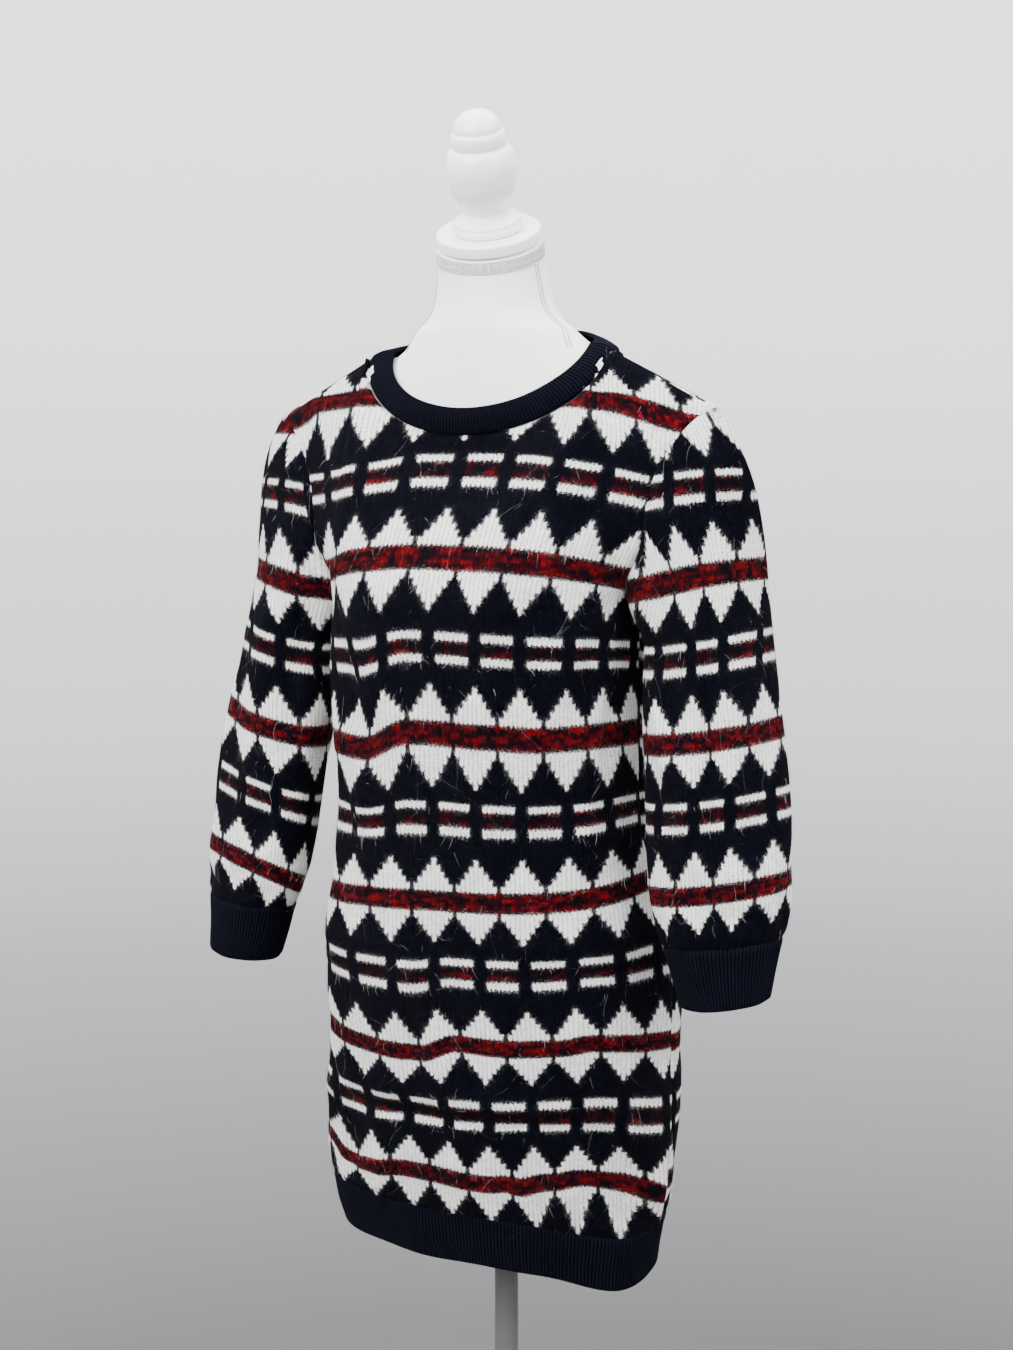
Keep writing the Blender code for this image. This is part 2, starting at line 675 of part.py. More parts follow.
cap_axis = unit(np.array(CAP_AXIS))
turned("neck_cap",
       [(0.0, CAP_H), (CAP_R - 0.0030, CAP_H), (CAP_R - 0.0008, CAP_H - 0.0010), (CAP_R, CAP_H - 0.0032),
        (CAP_R, 0.0022), (CAP_R - 0.0010, 0.0006), (CAP_R - 0.0022, 0.0), (0.0, 0.0)],
       wood, 36, np.array(CAP_TOP) - cap_axis * CAP_H, CAP_AXIS)
turned("finial", [(r, h) for h, r in FINIAL[::-1]] + [(0.0, FINIAL[0][0])],
       wood, 24, CAP_TOP, CAP_AXIS)
turned("pole",
       [(0.0, FORM_BOTTOM_Z - SEAM_GAP), (POLE_R, FORM_BOTTOM_Z - SEAM_GAP),
        (POLE_R, BASE_H + SEAM_GAP), (0.0, BASE_H + SEAM_GAP)], tube, 24)
turned("base",
       [(0.0, BASE_H), (BASE_R - 0.0080, BASE_H), (BASE_R - 0.0030, BASE_H - 0.0015), (BASE_R - 0.0006, BASE_H - 0.0050),
        (BASE_R, BASE_H - 0.0090), (BASE_R, 0.0020), (BASE_R - 0.0015, 0.0), (0.0, 0.0)], wood, 40)
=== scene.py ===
"""Looks of the sweater dress on its dress form.

Each knitted piece is a thin shell on its solid's own form, worked out from the
same section tables with finer steps, with its creases placed as soft
troughs and ridges. The jacquard is worked out from stitch and row numbers that
every point of the cloth carries as its UV coordinates, and so is the nap.
"""
from math import cos, pi, radians, sin

import bpy
import numpy as np
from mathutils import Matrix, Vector
from mathutils.bvhtree import BVHTree


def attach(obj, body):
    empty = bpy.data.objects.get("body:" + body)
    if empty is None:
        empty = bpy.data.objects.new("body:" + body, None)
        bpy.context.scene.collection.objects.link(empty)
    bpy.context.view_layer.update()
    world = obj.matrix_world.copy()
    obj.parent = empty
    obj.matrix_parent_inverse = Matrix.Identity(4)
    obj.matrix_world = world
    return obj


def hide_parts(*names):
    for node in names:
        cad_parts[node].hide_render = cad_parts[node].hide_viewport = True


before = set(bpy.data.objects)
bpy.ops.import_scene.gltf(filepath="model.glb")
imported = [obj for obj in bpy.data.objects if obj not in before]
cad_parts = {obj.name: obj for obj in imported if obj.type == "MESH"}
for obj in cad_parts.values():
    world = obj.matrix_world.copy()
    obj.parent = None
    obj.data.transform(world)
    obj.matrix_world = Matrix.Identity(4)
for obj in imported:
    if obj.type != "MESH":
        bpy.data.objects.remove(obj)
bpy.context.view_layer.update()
rng = np.random.default_rng(41)

# ---------------------------------------------------------------- sizes, m
CLOTH = 0.0028
RIB = 0.0032
UNDERARM_Z = 1.096
RIB_Z = 0.553
HEM_Z = 0.508
NECK_U = 0.55
NECK_HALF = 0.122
SHOULDER_OUT = 0.219
NECK_POINT_Z = 1.3205
SHOULDER_Z = 1.270
CUFF_SEAM_Z = 0.815
FORM_BOTTOM_Z = 0.615
FORM_GAP = 0.0029
POLE_R = 0.0110
BASE_R = 0.170
BASE_H = 0.018
CAP_R = 0.0470
CAP_H = 0.0110
CAP_TOP = (0.002, -0.040, 1.430)
CAP_AXIS = (0.115, -0.445, 0.90)
RIB_PITCH = 0.0034

BODY = [
    # z,     shift,  half,   front,  back,  square
    (0.508, -0.007, 0.1570, -0.092, 0.088, 2.10),
    (0.530, -0.009, 0.1625, -0.096, 0.091, 2.10),
    (0.553, -0.009, 0.1665, -0.100, 0.096, 2.10),
    (0.590, -0.007, 0.1710, -0.109, 0.106, 2.10),
    (0.640, -0.003, 0.1715, -0.119, 0.116, 2.18),
    (0.690, -0.001, 0.1685, -0.127, 0.122, 2.25),
    (0.745, 0.000, 0.1690, -0.135, 0.128, 2.30),
    (0.790, 0.000, 0.1680, -0.139, 0.126, 2.32),
    (0.820, 0.000, 0.1620, -0.140, 0.121, 2.32),
    (0.850, 0.000, 0.1550, -0.140, 0.114, 2.32),
    (0.880, 0.000, 0.1485, -0.140, 0.106, 2.35),
    (0.917, 0.000, 0.1445, -0.140, 0.099, 2.40),
    (0.963, 0.000, 0.1440, -0.142, 0.094, 2.50),
    (1.018, 0.000, 0.1425, -0.145, 0.098, 2.62),
    (1.069, 0.000, 0.1435, -0.146, 0.103, 2.65),
    (1.096, 0.000, 0.1430, -0.146, 0.107, 2.65),
    (1.125, 0.000, 0.1440, -0.143, 0.109, 2.60),
]
BACK_SQUARE = 2.08
HEM_DROP = [
    # angle, drop
    (-180.0, 0.000),
    (-90.0, 0.001),
    (-45.0, 0.000),
    (0.0, 0.002),
    (30.0, 0.007),
    (65.0, 0.022),
    (95.0, 0.014),
    (140.0, 0.003),
    (180.0, 0.000),
]
ARM_FRONT = [
    # share, out,    fore,    z,     reach
    (0.00, 0.1430, -0.0190, 1.096, 1.000),
    (0.10, 0.1425, -0.0440, 1.101, 0.920),
    (0.20, 0.1470, -0.0620, 1.119, 0.850),
    (0.35, 0.1630, -0.0700, 1.150, 0.830),
    (0.50, 0.1670, -0.0670, 1.185, 0.860),
    (0.65, 0.1740, -0.0620, 1.214, 0.900),
    (0.80, 0.1880, -0.0535, 1.240, 0.950),
    (0.92, 0.2055, -0.0440, 1.261, 0.985),
    (1.00, 0.2190, -0.0330, 1.270, 1.000),
]
ARM_BACK = [
    # share, out,    fore,    z,     reach
    (0.00, 0.1430, -0.0190, 1.096, 1.000),
    (0.10, 0.1470, 0.0100, 1.100, 0.920),
    (0.20, 0.1540, 0.0320, 1.118, 0.870),
    (0.35, 0.1660, 0.0490, 1.150, 0.850),
    (0.50, 0.1750, 0.0500, 1.185, 0.870),
    (0.65, 0.1830, 0.0410, 1.216, 0.910),
    (0.80, 0.1950, 0.0210, 1.244, 0.950),
    (0.92, 0.2095, -0.0080, 1.262, 0.985),
    (1.00, 0.2190, -0.0330, 1.270, 1.000),
]
SLEEVE = [
    # z,     out,    fore,   major,  minor,  turn, lift
    (1.035, 0.2140, -0.033, 0.0580, 0.0460, 28.0, 0.000),
    (0.970, 0.2225, -0.041, 0.0612, 0.0470, 28.0, 0.001),
    (0.900, 0.2295, -0.049, 0.0622, 0.0455, 28.0, 0.002),
    (0.850, 0.2350, -0.056, 0.0600, 0.0430, 28.0, 0.004),
    (0.812, 0.2390, -0.062, 0.0505, 0.0370, 28.0, 0.005),
    (0.790, 0.2408, -0.064, 0.0448, 0.0350, 28.0, 0.005),
    (0.765, 0.2440, -0.067, 0.0380, 0.0332, 28.0, 0.005),
]
NECK = [
    # z,      fore,    wide,   deep,   tip
    (1.3420, -0.0220, 0.0745, 0.0560, 0.06),
    (1.3540, -0.0230, 0.0605, 0.0540, 0.16),
    (1.3680, -0.0245, 0.0532, 0.0520, 0.34),
    (1.3850, -0.0265, 0.0500, 0.0505, 0.60),
    (1.4050, -0.0310, 0.0478, 0.0482, 0.86),
]
FORM_INSET = [
    # z,     front,  back
    (0.615, 0.0200, 0.0200),
    (0.730, 0.0130, 0.0120),
    (0.850, 0.0150, 0.0130),
    (0.950, 0.0170, 0.0150),
    (1.060, 0.0090, 0.0100),
    (1.125, 0.0060, 0.0060),
]
FINIAL = [
    # h,      r
    (0.0004, 0.0308),
    (0.0014, 0.0316),
    (0.0052, 0.0318),
    (0.0062, 0.0308),
    (0.0070, 0.0304),
    (0.0095, 0.0300),
    (0.0108, 0.0286),
    (0.0122, 0.0244),
    (0.0145, 0.0212),
    (0.0185, 0.0196),
    (0.0230, 0.0204),
    (0.0290, 0.0244),
    (0.0370, 0.0286),
    (0.0460, 0.0308),
    (0.0570, 0.0316),
    (0.0670, 0.0301),
    (0.0735, 0.0268),
    (0.0752, 0.0244),
    (0.0765, 0.0236),
    (0.0780, 0.0241),
    (0.0820, 0.0245),
    (0.0860, 0.0241),
    (0.0888, 0.0230),
    (0.0900, 0.0216),
    (0.0940, 0.0210),
    (0.0985, 0.0189),
    (0.1030, 0.0149),
    (0.1060, 0.0100),
    (0.1073, 0.0050),
    (0.1078, 0.0000),
]

# ---------------------------------------------------------------- how the pattern lies
# heights at which rows of the knitting lie in the middle of the body
BODY_ROWS = [
    # row,   z
    (-12.0, 1.3420),
    (0.0, 1.3050),
    (13.5, 1.2790),
    (27.0, 1.2430),
    (34.0, 1.2275),
    (41.0, 1.2056),
    (48.0, 1.1820),
    (61.5, 1.1405),
    (75.0, 1.0960),
    (82.0, 1.0732),
    (89.0, 1.0534),
    (96.0, 1.0310),
    (109.5, 0.9890),
    (123.0, 0.9430),
    (130.0, 0.9261),
    (137.0, 0.9043),
    (144.0, 0.8800),
    (157.5, 0.8430),
    (178.0, 0.7874),
    (185.0, 0.7676),
    (192.0, 0.7430),
    (205.5, 0.7085),
    (226.0, 0.6595),
    (233.0, 0.6386),
    (240.0, 0.6220),
    (253.5, 0.5885),
    (267.0, 0.5530),
    (271.0, 0.5400),
]
# how far the rows rise or sag from those heights across the front, in millimetres,
# at shares of the front's half width, for the rows at these heights
SAG_AT = (-0.98, -0.83, -0.65, -0.45, -0.33, -0.10, 0.07, 0.18, 0.25, 0.39, 0.52, 0.65, 0.80, 0.98)
SAG = [
    # z, then one value for each share above
    (1.305, -16.0, -6.0, 4.0, 8.0, 6.0, 0.0, 0.0, 0.0, -1.0, -2.0, -3.0, -4.5, -11.0, -24.0),
    (1.279, -15.0, 1.0, 3.0, 4.0, 4.0, 0.0, 0.0, 0.0, 0.0, -1.0, -2.0, -3.0, -10.0, -23.0),
    (1.243, -15.0, -8.0, -5.0, -4.0, -3.0, 0.0, 0.0, -1.0, -2.0, -4.0, -6.0, -8.5, -13.0, -23.0),
    (1.2275, -18.0, -16.0, -13.0, -9.0, -7.5, 0.0, 0.0, -1.5, -2.2, -4.5, -6.5, -9.0, -14.0, -21.0),
    (1.182, -16.0, -14.0, -11.0, -7.5, -5.0, 0.0, 0.0, -0.5, -1.0, -2.5, -5.0, -8.0, -13.0, -19.0),
    (1.1405, -17.0, -15.0, -12.0, -4.5, -1.5, 1.0, 0.0, -0.7, -1.2, -3.0, -6.0, -9.5, -14.0, -19.0),
    (0.989, -7.0, -8.0, -10.5, -16.0, -18.0, 1.0, 0.5, -1.0, -1.5, -3.0, -2.5, -1.0, -1.0, -1.5),
    (0.8430, -9.0, -8.5, -8.0, -6.5, -4.5, -1.5, 0.0, 0.0, 0.5, 1.7, 3.5, 6.0, 10.0, 13.0),
    (0.7085, 5.0, 4.0, 2.0, -4.0, -6.0, -8.0, 7.0, 6.0, 6.0, 8.0, 12.0, 9.0, 5.0, 1.0),
    (0.6385, 9.0, 8.0, 4.0, -3.0, -3.5, 0.0, 0.0, 1.0, 3.0, 6.0, 7.0, 5.0, 1.0, -4.0),
    (0.5885, 13.0, 12.0, 9.0, -12.0, -7.0, 1.0, 0.0, -1.5, -1.5, 12.0, 17.0, 12.0, 3.0, -13.0),
    (0.5530, 0.0, 0.0, 0.0, 0.0, 0.0, 0.0, 0.0, 0.0, 0.0, 0.0, 0.0, 0.0, 0.0, 0.0),
]
# distance round the front from its middle, in millimetres, of every tenth stitch
WALE_S = (-60, -40, -30, -20, -10, 0, 10, 20, 30, 40, 50, 70)
WALES = [
    # z, then one value for each stitch above
    (1.182, -288, -190, -140, -92, -47.4, -1.4, 46.9, 94.9, 137.4, 182.6, 230, 326),
    (1.096, -298, -200, -147, -96.8, -50.9, -1.3, 42.5, 82.7, 126.8, 167.2, 212, 306),
    (1.028, -270, -172, -121, -78.0, -48.5, 0.0, 42.5, 82.3, 122.5, 160.0, 204, 296),
    (0.944, -295, -196, -146, -97.0, -46.8, -0.6, 41.4, 81.0, 120.8, 162.2, 210, 304),
    (0.880, -300, -200, -150, -97.7, -44.4, 0.6, 40.7, 81.2, 121.1, 165.1, 214, 308),
    (0.748, -300, -200, -147.9, -93.2, -44.8, -0.6, 43.9, 84.2, 125.9, 170.8, 221, 315),
    (0.622, -285, -188, -135.2, -81.0, -34.9, 5.9, 43.6, 85.4, 122.4, 162.4, 217, 310),
]
# in the yoke the stitches' lines follow the distance from the middle, straight across
YOKE_WALES = [
    # z, then one value for each stitch above
    (1.180, -270, -180, -136, -91, -47.5, 0, 47.0, 93.0, 134.0, 174.0, 212, 300),
    (1.235, -270, -186, -148, -94, -51.0, 0, 50.0, 102.0, 140.0, 175.0, 212, 300),
    (1.300, -270, -192, -152, -102, -52.0, 0, 50.0, 98.0, 127.0, 165.0, 204, 300),
]
SLEEVE_ROWS = [
    # row,   z
    (4.0, 1.2900),
    (17.0, 1.2460),
    (27.0, 1.2166),
    (34.0, 1.2020),
    (41.0, 1.1810),
    (48.0, 1.1600),
    (61.5, 1.1180),
    (75.0, 1.0835),
    (82.0, 1.0690),
    (89.0, 1.0489),
    (96.0, 1.0275),
    (109.5, 0.9895),
    (123.0, 0.9530),
    (130.0, 0.9375),
    (137.0, 0.9180),
    (144.0, 0.8980),
    (157.5, 0.8620),
    (171.0, 0.8310),
    (178.0, 0.8130),
]
# the angle round a sleeve, from its outer tip towards the front, at which these stitches lie
SLEEVE_S = (-90, -60, -30, -20, -10, 0, 10, 20, 30, 50)
LEFT_WALES = [
    # z, then one angle for each stitch above
    (1.290, -3.40, -2.15, -0.90, -0.50, -0.08, 0.33, 0.74, 1.15, 1.56, 2.40),
    (1.227, -3.40, -2.12, -0.85, -0.43, -0.01, 0.41, 0.83, 1.27, 1.72, 2.60),
    (1.208, -3.45, -2.15, -0.85, -0.38, 0.06, 0.49, 0.93, 1.41, 1.90, 2.85),
    (1.186, -3.55, -2.20, -0.82, -0.30, 0.20, 0.62, 1.08, 1.58, 2.10, 3.15),
    (1.165, -3.70, -2.30, -0.85, -0.35, 0.19, 0.74, 1.17, 1.65, 2.25, 3.40),
    (1.135, -3.85, -2.32, -0.75, -0.20, 0.38, 0.90, 1.30, 1.70, 2.40, 3.70),
    (1.113, -4.00, -2.36, -0.65, -0.08, 0.50, 1.05, 1.45, 1.88, 2.60, 3.95),
    (1.082, -4.20, -2.40, -0.60, 0.02, 0.56, 1.28, 1.71, 2.26, 2.95, 4.30),
    (1.068, -4.30, -2.45, -0.58, 0.05, 0.68, 1.36, 1.80, 2.37, 3.05, 4.40),
    (1.047, -4.40, -2.45, -0.56, 0.08, 0.78, 1.45, 1.90, 2.50, 3.20, 4.60),
    (1.025, -4.45, -2.50, -0.55, 0.10, 0.72, 1.49, 1.92, 2.61, 3.30, 4.70),
    (1.002, -4.50, -2.50, -0.55, 0.12, 0.80, 1.47, 1.95, 2.60, 3.30, 4.70),
    (0.892, -4.50, -2.50, -0.55, 0.12, 0.84, 1.52, 1.98, 2.66, 3.35, 4.75),
    (0.800, -4.50, -2.50, -0.55, 0.12, 0.84, 1.52, 2.03, 2.70, 3.40, 4.80),
]
RIGHT_WALES = [
    # z, then one angle for each stitch above
    (1.290, -3.55, -2.30, -1.05, -0.65, -0.25, 0.12, 0.50, 0.88, 1.28, 2.10),
    (1.230, -3.50, -2.25, -1.02, -0.60, -0.20, 0.20, 0.60, 1.00, 1.40, 2.25),
    (1.207, -3.50, -2.25, -1.00, -0.58, -0.16, 0.25, 0.68, 1.11, 1.60, 2.50),
    (1.181, -3.60, -2.25, -0.95, -0.50, -0.06, 0.38, 0.86, 1.47, 2.00, 3.00),
    (1.155, -3.75, -2.25, -0.75, -0.28, 0.16, 0.64, 1.10, 2.01, 2.60, 3.60),
    (1.130, -3.85, -2.25, -0.65, -0.18, 0.26, 0.70, 1.40, 2.25, 2.80, 3.85),
    (1.106, -3.95, -2.22, -0.52, 0.00, 0.45, 0.93, 1.68, 2.42, 3.00, 4.15),
    (1.078, -4.10, -2.20, -0.40, 0.10, 0.60, 1.20, 2.01, 2.60, 3.20, 4.45),
    (1.062, -4.20, -2.20, -0.30, 0.15, 0.66, 1.40, 2.18, 2.85, 3.45, 4.70),
    (1.043, -4.30, -2.25, -0.28, 0.22, 0.75, 1.55, 2.28, 3.00, 3.60, 4.90),
    (1.018, -4.40, -2.30, -0.25, 0.35, 0.90, 1.68, 2.30, 3.18, 3.80, 5.10),
    (0.940, -4.50, -2.35, -0.20, 0.50, 1.15, 1.88, 2.54, 3.38, 4.00, 5.30),
    (0.888, -4.50, -2.35, -0.20, 0.52, 1.20, 1.94, 2.64, 3.38, 4.00, 5.30),
    (0.800, -4.50, -2.35, -0.18, 0.56, 1.26, 2.02, 2.80, 3.50, 4.10, 5.40),
]
# how far the rows stand above or below their height, round a sleeve
LEFT_LEAN = [
    # z,     with cos, with sin, all round
    (1.250, 0.0120, 0.000, 0.0000),
    (1.120, 0.0120, 0.002, 0.0012),
    (1.060, 0.0085, 0.000, 0.0000),
    (0.800, 0.0085, 0.000, 0.0000),
]
RIGHT_LEAN = [
    # z,     with cos, with sin, all round
    (1.250, 0.0120, 0.000, -0.0060),
    (1.200, 0.0120, 0.000, -0.0050),
    (1.115, 0.0120, 0.001, -0.0020),
    (0.975, 0.0153, 0.0035, -0.0030),
    (0.930, 0.0130, 0.0080, -0.0085),
    (0.850, 0.0100, 0.0170, -0.0145),
    (0.800, 0.0100, 0.0170, -0.0145),
]

# ---------------------------------------------------------------- folds
# each is a soft trough (-) or ridge (+) along a line; distances round from the middle
FRONT_FOLDS = [
    # from,    z,      to,     z,      width,  lift
    (-0.125, 1.105, -0.070, 0.965, 0.0110, -0.0040),
    (-0.100, 1.090, -0.045, 0.990, 0.0120, 0.0024),
    (-0.150, 1.060, -0.100, 0.930, 0.0140, 0.0030),
    (-0.090, 0.960, -0.060, 0.860, 0.0150, 0.0026),
    (-0.115, 0.940, -0.090, 0.840, 0.0120, -0.0030),
    (0.165, 1.100, 0.125, 0.990, 0.0100, -0.0036),
    (0.150, 1.105, 0.105, 1.000, 0.0100, 0.0022),
    (0.185, 1.075, 0.150, 0.930, 0.0120, -0.0044),
    (0.172, 1.060, 0.138, 0.900, 0.0090, 0.0026),
    (0.155, 0.950, 0.110, 0.850, 0.0140, 0.0024),
    (0.120, 0.945, 0.070, 0.870, 0.0130, -0.0024),
    (-0.030, 0.735, -0.022, 0.672, 0.0090, -0.0034),
    (-0.012, 0.740, -0.002, 0.670, 0.0100, 0.0028),
    (0.110, 0.735, 0.140, 0.670, 0.0140, 0.0030),
    (-0.110, 0.646, 0.160, 0.640, 0.0080, -0.0046),
    (-0.120, 0.664, 0.150, 0.661, 0.0100, 0.0036),
    (0.010, 0.800, 0.120, 0.780, 0.0110, -0.0022),
    (0.100, 0.625, 0.112, 0.545, 0.0150, 0.0062),
    (0.060, 0.612, 0.056, 0.540, 0.0120, -0.0052),
    (0.165, 0.622, 0.176, 0.535, 0.0140, -0.0058),
    (0.205, 0.640, 0.215, 0.530, 0.0160, 0.0052),
    (0.020, 0.610, 0.012, 0.545, 0.0130, 0.0026),
    (-0.105, 0.640, -0.125, 0.545, 0.0160, -0.0050),
    (-0.070, 0.630, -0.070, 0.545, 0.0150, 0.0034),
    (-0.150, 0.690, -0.165, 0.590, 0.0140, 0.0034),
    (-0.185, 0.800, -0.175, 0.680, 0.0150, -0.0030),
    (0.200, 0.850, 0.205, 0.700, 0.0150, -0.0030),
    (-0.060, 1.215, 0.055, 1.206, 0.0130, 0.0012),
    (0.128, 1.205, 0.150, 1.140, 0.0100, -0.0018),
    (-0.135, 1.200, -0.160, 1.130, 0.0110, -0.0020),
    (0.148, 1.265, 0.180, 1.215, 0.0100, 0.0014),
]
BACK_FOLDS = [
    # from,    z,      to,     z,      width,  lift
    (-0.180, 1.085, -0.110, 0.985, 0.0120, -0.0038),
    (-0.165, 1.065, -0.080, 0.960, 0.0130, 0.0028),
    (0.175, 1.090, 0.105, 1.000, 0.0120, -0.0036),
    (0.160, 1.060, 0.080, 0.975, 0.0130, 0.0026),
    (-0.120, 0.968, 0.090, 0.955, 0.0100, -0.0040),
    (-0.100, 0.948, 0.120, 0.932, 0.0110, 0.0036),
    (-0.060, 0.925, 0.140, 0.902, 0.0110, -0.0034),
    (0.090, 0.735, 0.115, 0.640, 0.0150, 0.0034),
    (-0.085, 0.750, -0.120, 0.630, 0.0140, -0.0034),
    (0.040, 0.650, 0.050, 0.545, 0.0150, 0.0048),
    (0.005, 0.640, 0.000, 0.545, 0.0140, -0.0046),
    (-0.060, 0.650, -0.075, 0.545, 0.0160, 0.0044),
    (0.120, 0.650, 0.135, 0.545, 0.0140, -0.0048),
    (-0.150, 0.660, -0.170, 0.545, 0.0150, 0.0040),
    (-0.070, 1.250, -0.020, 1.130, 0.0150, 0.0014),
    (0.080, 1.235, 0.125, 1.130, 0.0130, -0.0016),
]
# on the sleeves the first number is the angle round from the outer tip
LEFT_FOLDS = [
    # from,  z,     to,    z,     width,  lift
    (1.45, 1.165, 1.72, 1.030, 0.0080, -0.0034),
    (1.72, 1.030, 1.80, 0.870, 0.0080, -0.0052),
    (1.98, 1.060, 2.08, 0.880, 0.0100, 0.0030),
    (1.42, 1.020, 1.50, 0.880, 0.0110, 0.0028),
    (2.40, 1.060, 1.95, 0.965, 0.0100, -0.0042),
    (2.75, 1.035, 2.25, 0.930, 0.0100, 0.0034),
    (2.95, 0.990, 2.30, 0.900, 0.0100, -0.0044),
    (2.30, 0.895, 1.30, 0.862, 0.0100, 0.0026),
    (2.40, 0.850, 1.20, 0.838, 0.0080, -0.0028),
    (0.60, 1.050, 1.20, 0.940, 0.0150, -0.0024),
    (0.20, 0.960, 0.90, 0.850, 0.0150, 0.0024),
    (0.10, 0.880, 0.60, 0.825, 0.0100, -0.0026),
    (-1.50, 1.060, -1.20, 0.900, 0.0120, -0.0040),
    (-0.90, 0.990, -0.60, 0.850, 0.0130, 0.0030),
    (-2.60, 1.040, -1.90, 0.950, 0.0110, -0.0040),
    (-2.40, 0.930, -1.50, 0.860, 0.0110, 0.0032),
    (-1.80, 0.850, -0.40, 0.835, 0.0080, -0.0026),
    (0.60, 1.235, 0.35, 1.180, 0.0110, 0.0016),
]
RIGHT_FOLDS = [
    # from,  z,     to,    z,     width,  lift
    (1.55, 1.130, 2.10, 0.980, 0.0100, 0.0030),
    (2.35, 1.100, 2.75, 0.960, 0.0100, -0.0048),
    (2.85, 1.030, 3.05, 0.900, 0.0110, 0.0036),
    (1.20, 1.090, 1.60, 0.930, 0.0110, -0.0034),
    (0.90, 1.000, 1.25, 0.870, 0.0120, 0.0028),
    (2.80, 0.920, 2.10, 0.868, 0.0100, -0.0034),
    (2.60, 0.862, 1.50, 0.845, 0.0085, 0.0026),
    (1.90, 0.840, 0.90, 0.835, 0.0080, -0.0026),
    (0.50, 1.060, 0.80, 0.900, 0.0130, -0.0030),
    (-1.30, 1.070, -1.00, 0.920, 0.0120, -0.0038),
    (-2.10, 1.040, -1.50, 0.900, 0.0120, 0.0034),
    (-2.70, 1.000, -2.00, 0.880, 0.0110, -0.0040),
    (-1.60, 0.855, -0.30, 0.835, 0.0080, -0.0026),
    (0.70, 1.230, 0.45, 1.175, 0.0110, 0.0016),
]


# ---------------------------------------------------------------- tables
def through(t, y, at):
    """A smooth curve with no overshoot through these points."""
    t, y, at = np.asarray(t, float), np.asarray(y, float), np.asarray(at, float)
    if t[0] > t[-1]:
        t, y = t[::-1], y[::-1]
    step = np.diff(t)
    rise = np.diff(y) / step
    slope = np.zeros(len(t))
    slope[0], slope[-1] = rise[0], rise[-1]
    a, b = 2 * step[1:] + step[:-1], step[1:] + 2 * step[:-1]
    with np.errstate(divide="ignore", invalid="ignore"):
        middle = (a + b) / (a / rise[:-1] + b / rise[1:])
    slope[1:-1] = np.where(rise[:-1] * rise[1:] > 0, middle, 0.0)
    at = np.clip(at, t[0], t[-1])
    i = np.clip(np.searchsorted(t, at) - 1, 0, len(step) - 1)
    q = (at - t[i]) / step[i]
    return ((2 * q**3 - 3 * q**2 + 1) * y[i] + (q**3 - 2 * q**2 + q) * step[i] * slope[i]
            + (3 * q**2 - 2 * q**3) * y[i + 1] + (q**3 - q**2) * step[i] * slope[i + 1])


def curve(rows, column, at):
    return through([row[0] for row in rows], [row[column] for row in rows], at)


def ease(t):
    t = np.clip(t, 0.0, 1.0)
    return t * t * (3 - 2 * t)


def unit(v):
    v = np.asarray(v, float)
    return v / np.linalg.norm(v, axis=-1, keepdims=True)


def vec(x, y, z):
    x, y, z = np.broadcast_arrays(x, y, z)
    return np.stack([x, y, z], -1).astype(float)


# ---------------------------------------------------------------- the garment's form, as in the solids
def skirt_point(u, z, back):
    u, z = np.broadcast_arrays(np.asarray(u, float), np.asarray(z, float))
    phi = u * pi / 2
    half, front, rear = curve(BODY, 2, z), curve(BODY, 3, z), curve(BODY, 4, z)
    deep = (rear - front) / 2
    angle = np.degrees(phi)
    if back:
        angle = np.where(u >= 0, 180 - angle, -180 - angle)
    drop = curve(HEM_DROP, 1, angle) * ease((0.70 - z) / (0.70 - HEM_Z))
    square = BACK_SQUARE if back else curve(BODY, 5, z)
    s, c = np.sin(phi), np.abs(np.cos(phi))
    swell = (np.abs(s)**square + c**square)**(-1 / square)
    return vec(curve(BODY, 1, z) + half * swell * s,
               (front + rear) / 2 + (deep if back else -deep) * swell * c, z - drop)


def top_point(u, back):
    u = np.asarray(u, float)
    a, side = np.abs(u), np.where(u >= 0, 1.0, -1.0)
    inside = np.minimum(a / NECK_U, 1.0) * pi / 2
    c, x = np.maximum(np.cos(inside), 0.0), NECK_HALF * np.sin(inside)
    if back:
        neck = vec(side * x, -0.035 + 0.093 * c, NECK_POINT_Z + 0.004 * c)
    else:
        neck = vec(side * x, -0.035 - 0.046 * c, NECK_POINT_Z - 0.074 * c**1.1)
    t = (a - NECK_U) / (1 - NECK_U)
    shoulder = vec(side * (NECK_HALF + (SHOULDER_OUT - NECK_HALF) * t), -0.035 + 0.002 * t,
                   NECK_POINT_Z + (SHOULDER_Z - NECK_POINT_Z) * t)
    return np.where((a <= NECK_U)[..., None], neck, shoulder)


def column(u, w, back):
    u, w = np.broadcast_arrays(np.asarray(u, float), np.asarray(w, float))
    a, side = np.abs(u), np.where(u >= 0, 1.0, -1.0)
    low, high = skirt_point(u, UNDERARM_Z, back), top_point(u, back)
    k = ease(a / NECK_U)
    if back:
        start = vec(0.010 * side * a, -0.002, 0.070)
        end = vec(0.0, (1 - k) * -0.012 + k * -0.042, (1 - k) * 0.045 + k * 0.014)
    else:
        start = vec(0.010 * side * a, 0.006 * (1 - a), 0.050)
        end = vec(0.0, (1 - k) * 0.013 + k * 0.042, (1 - k) * 0.045 + k * 0.014)
    w = w[..., None]
    q = 1 - w
    return q**3 * low + 3 * q * q * w * (low + start) + 3 * q * w * w * (high - end) + w**3 * high


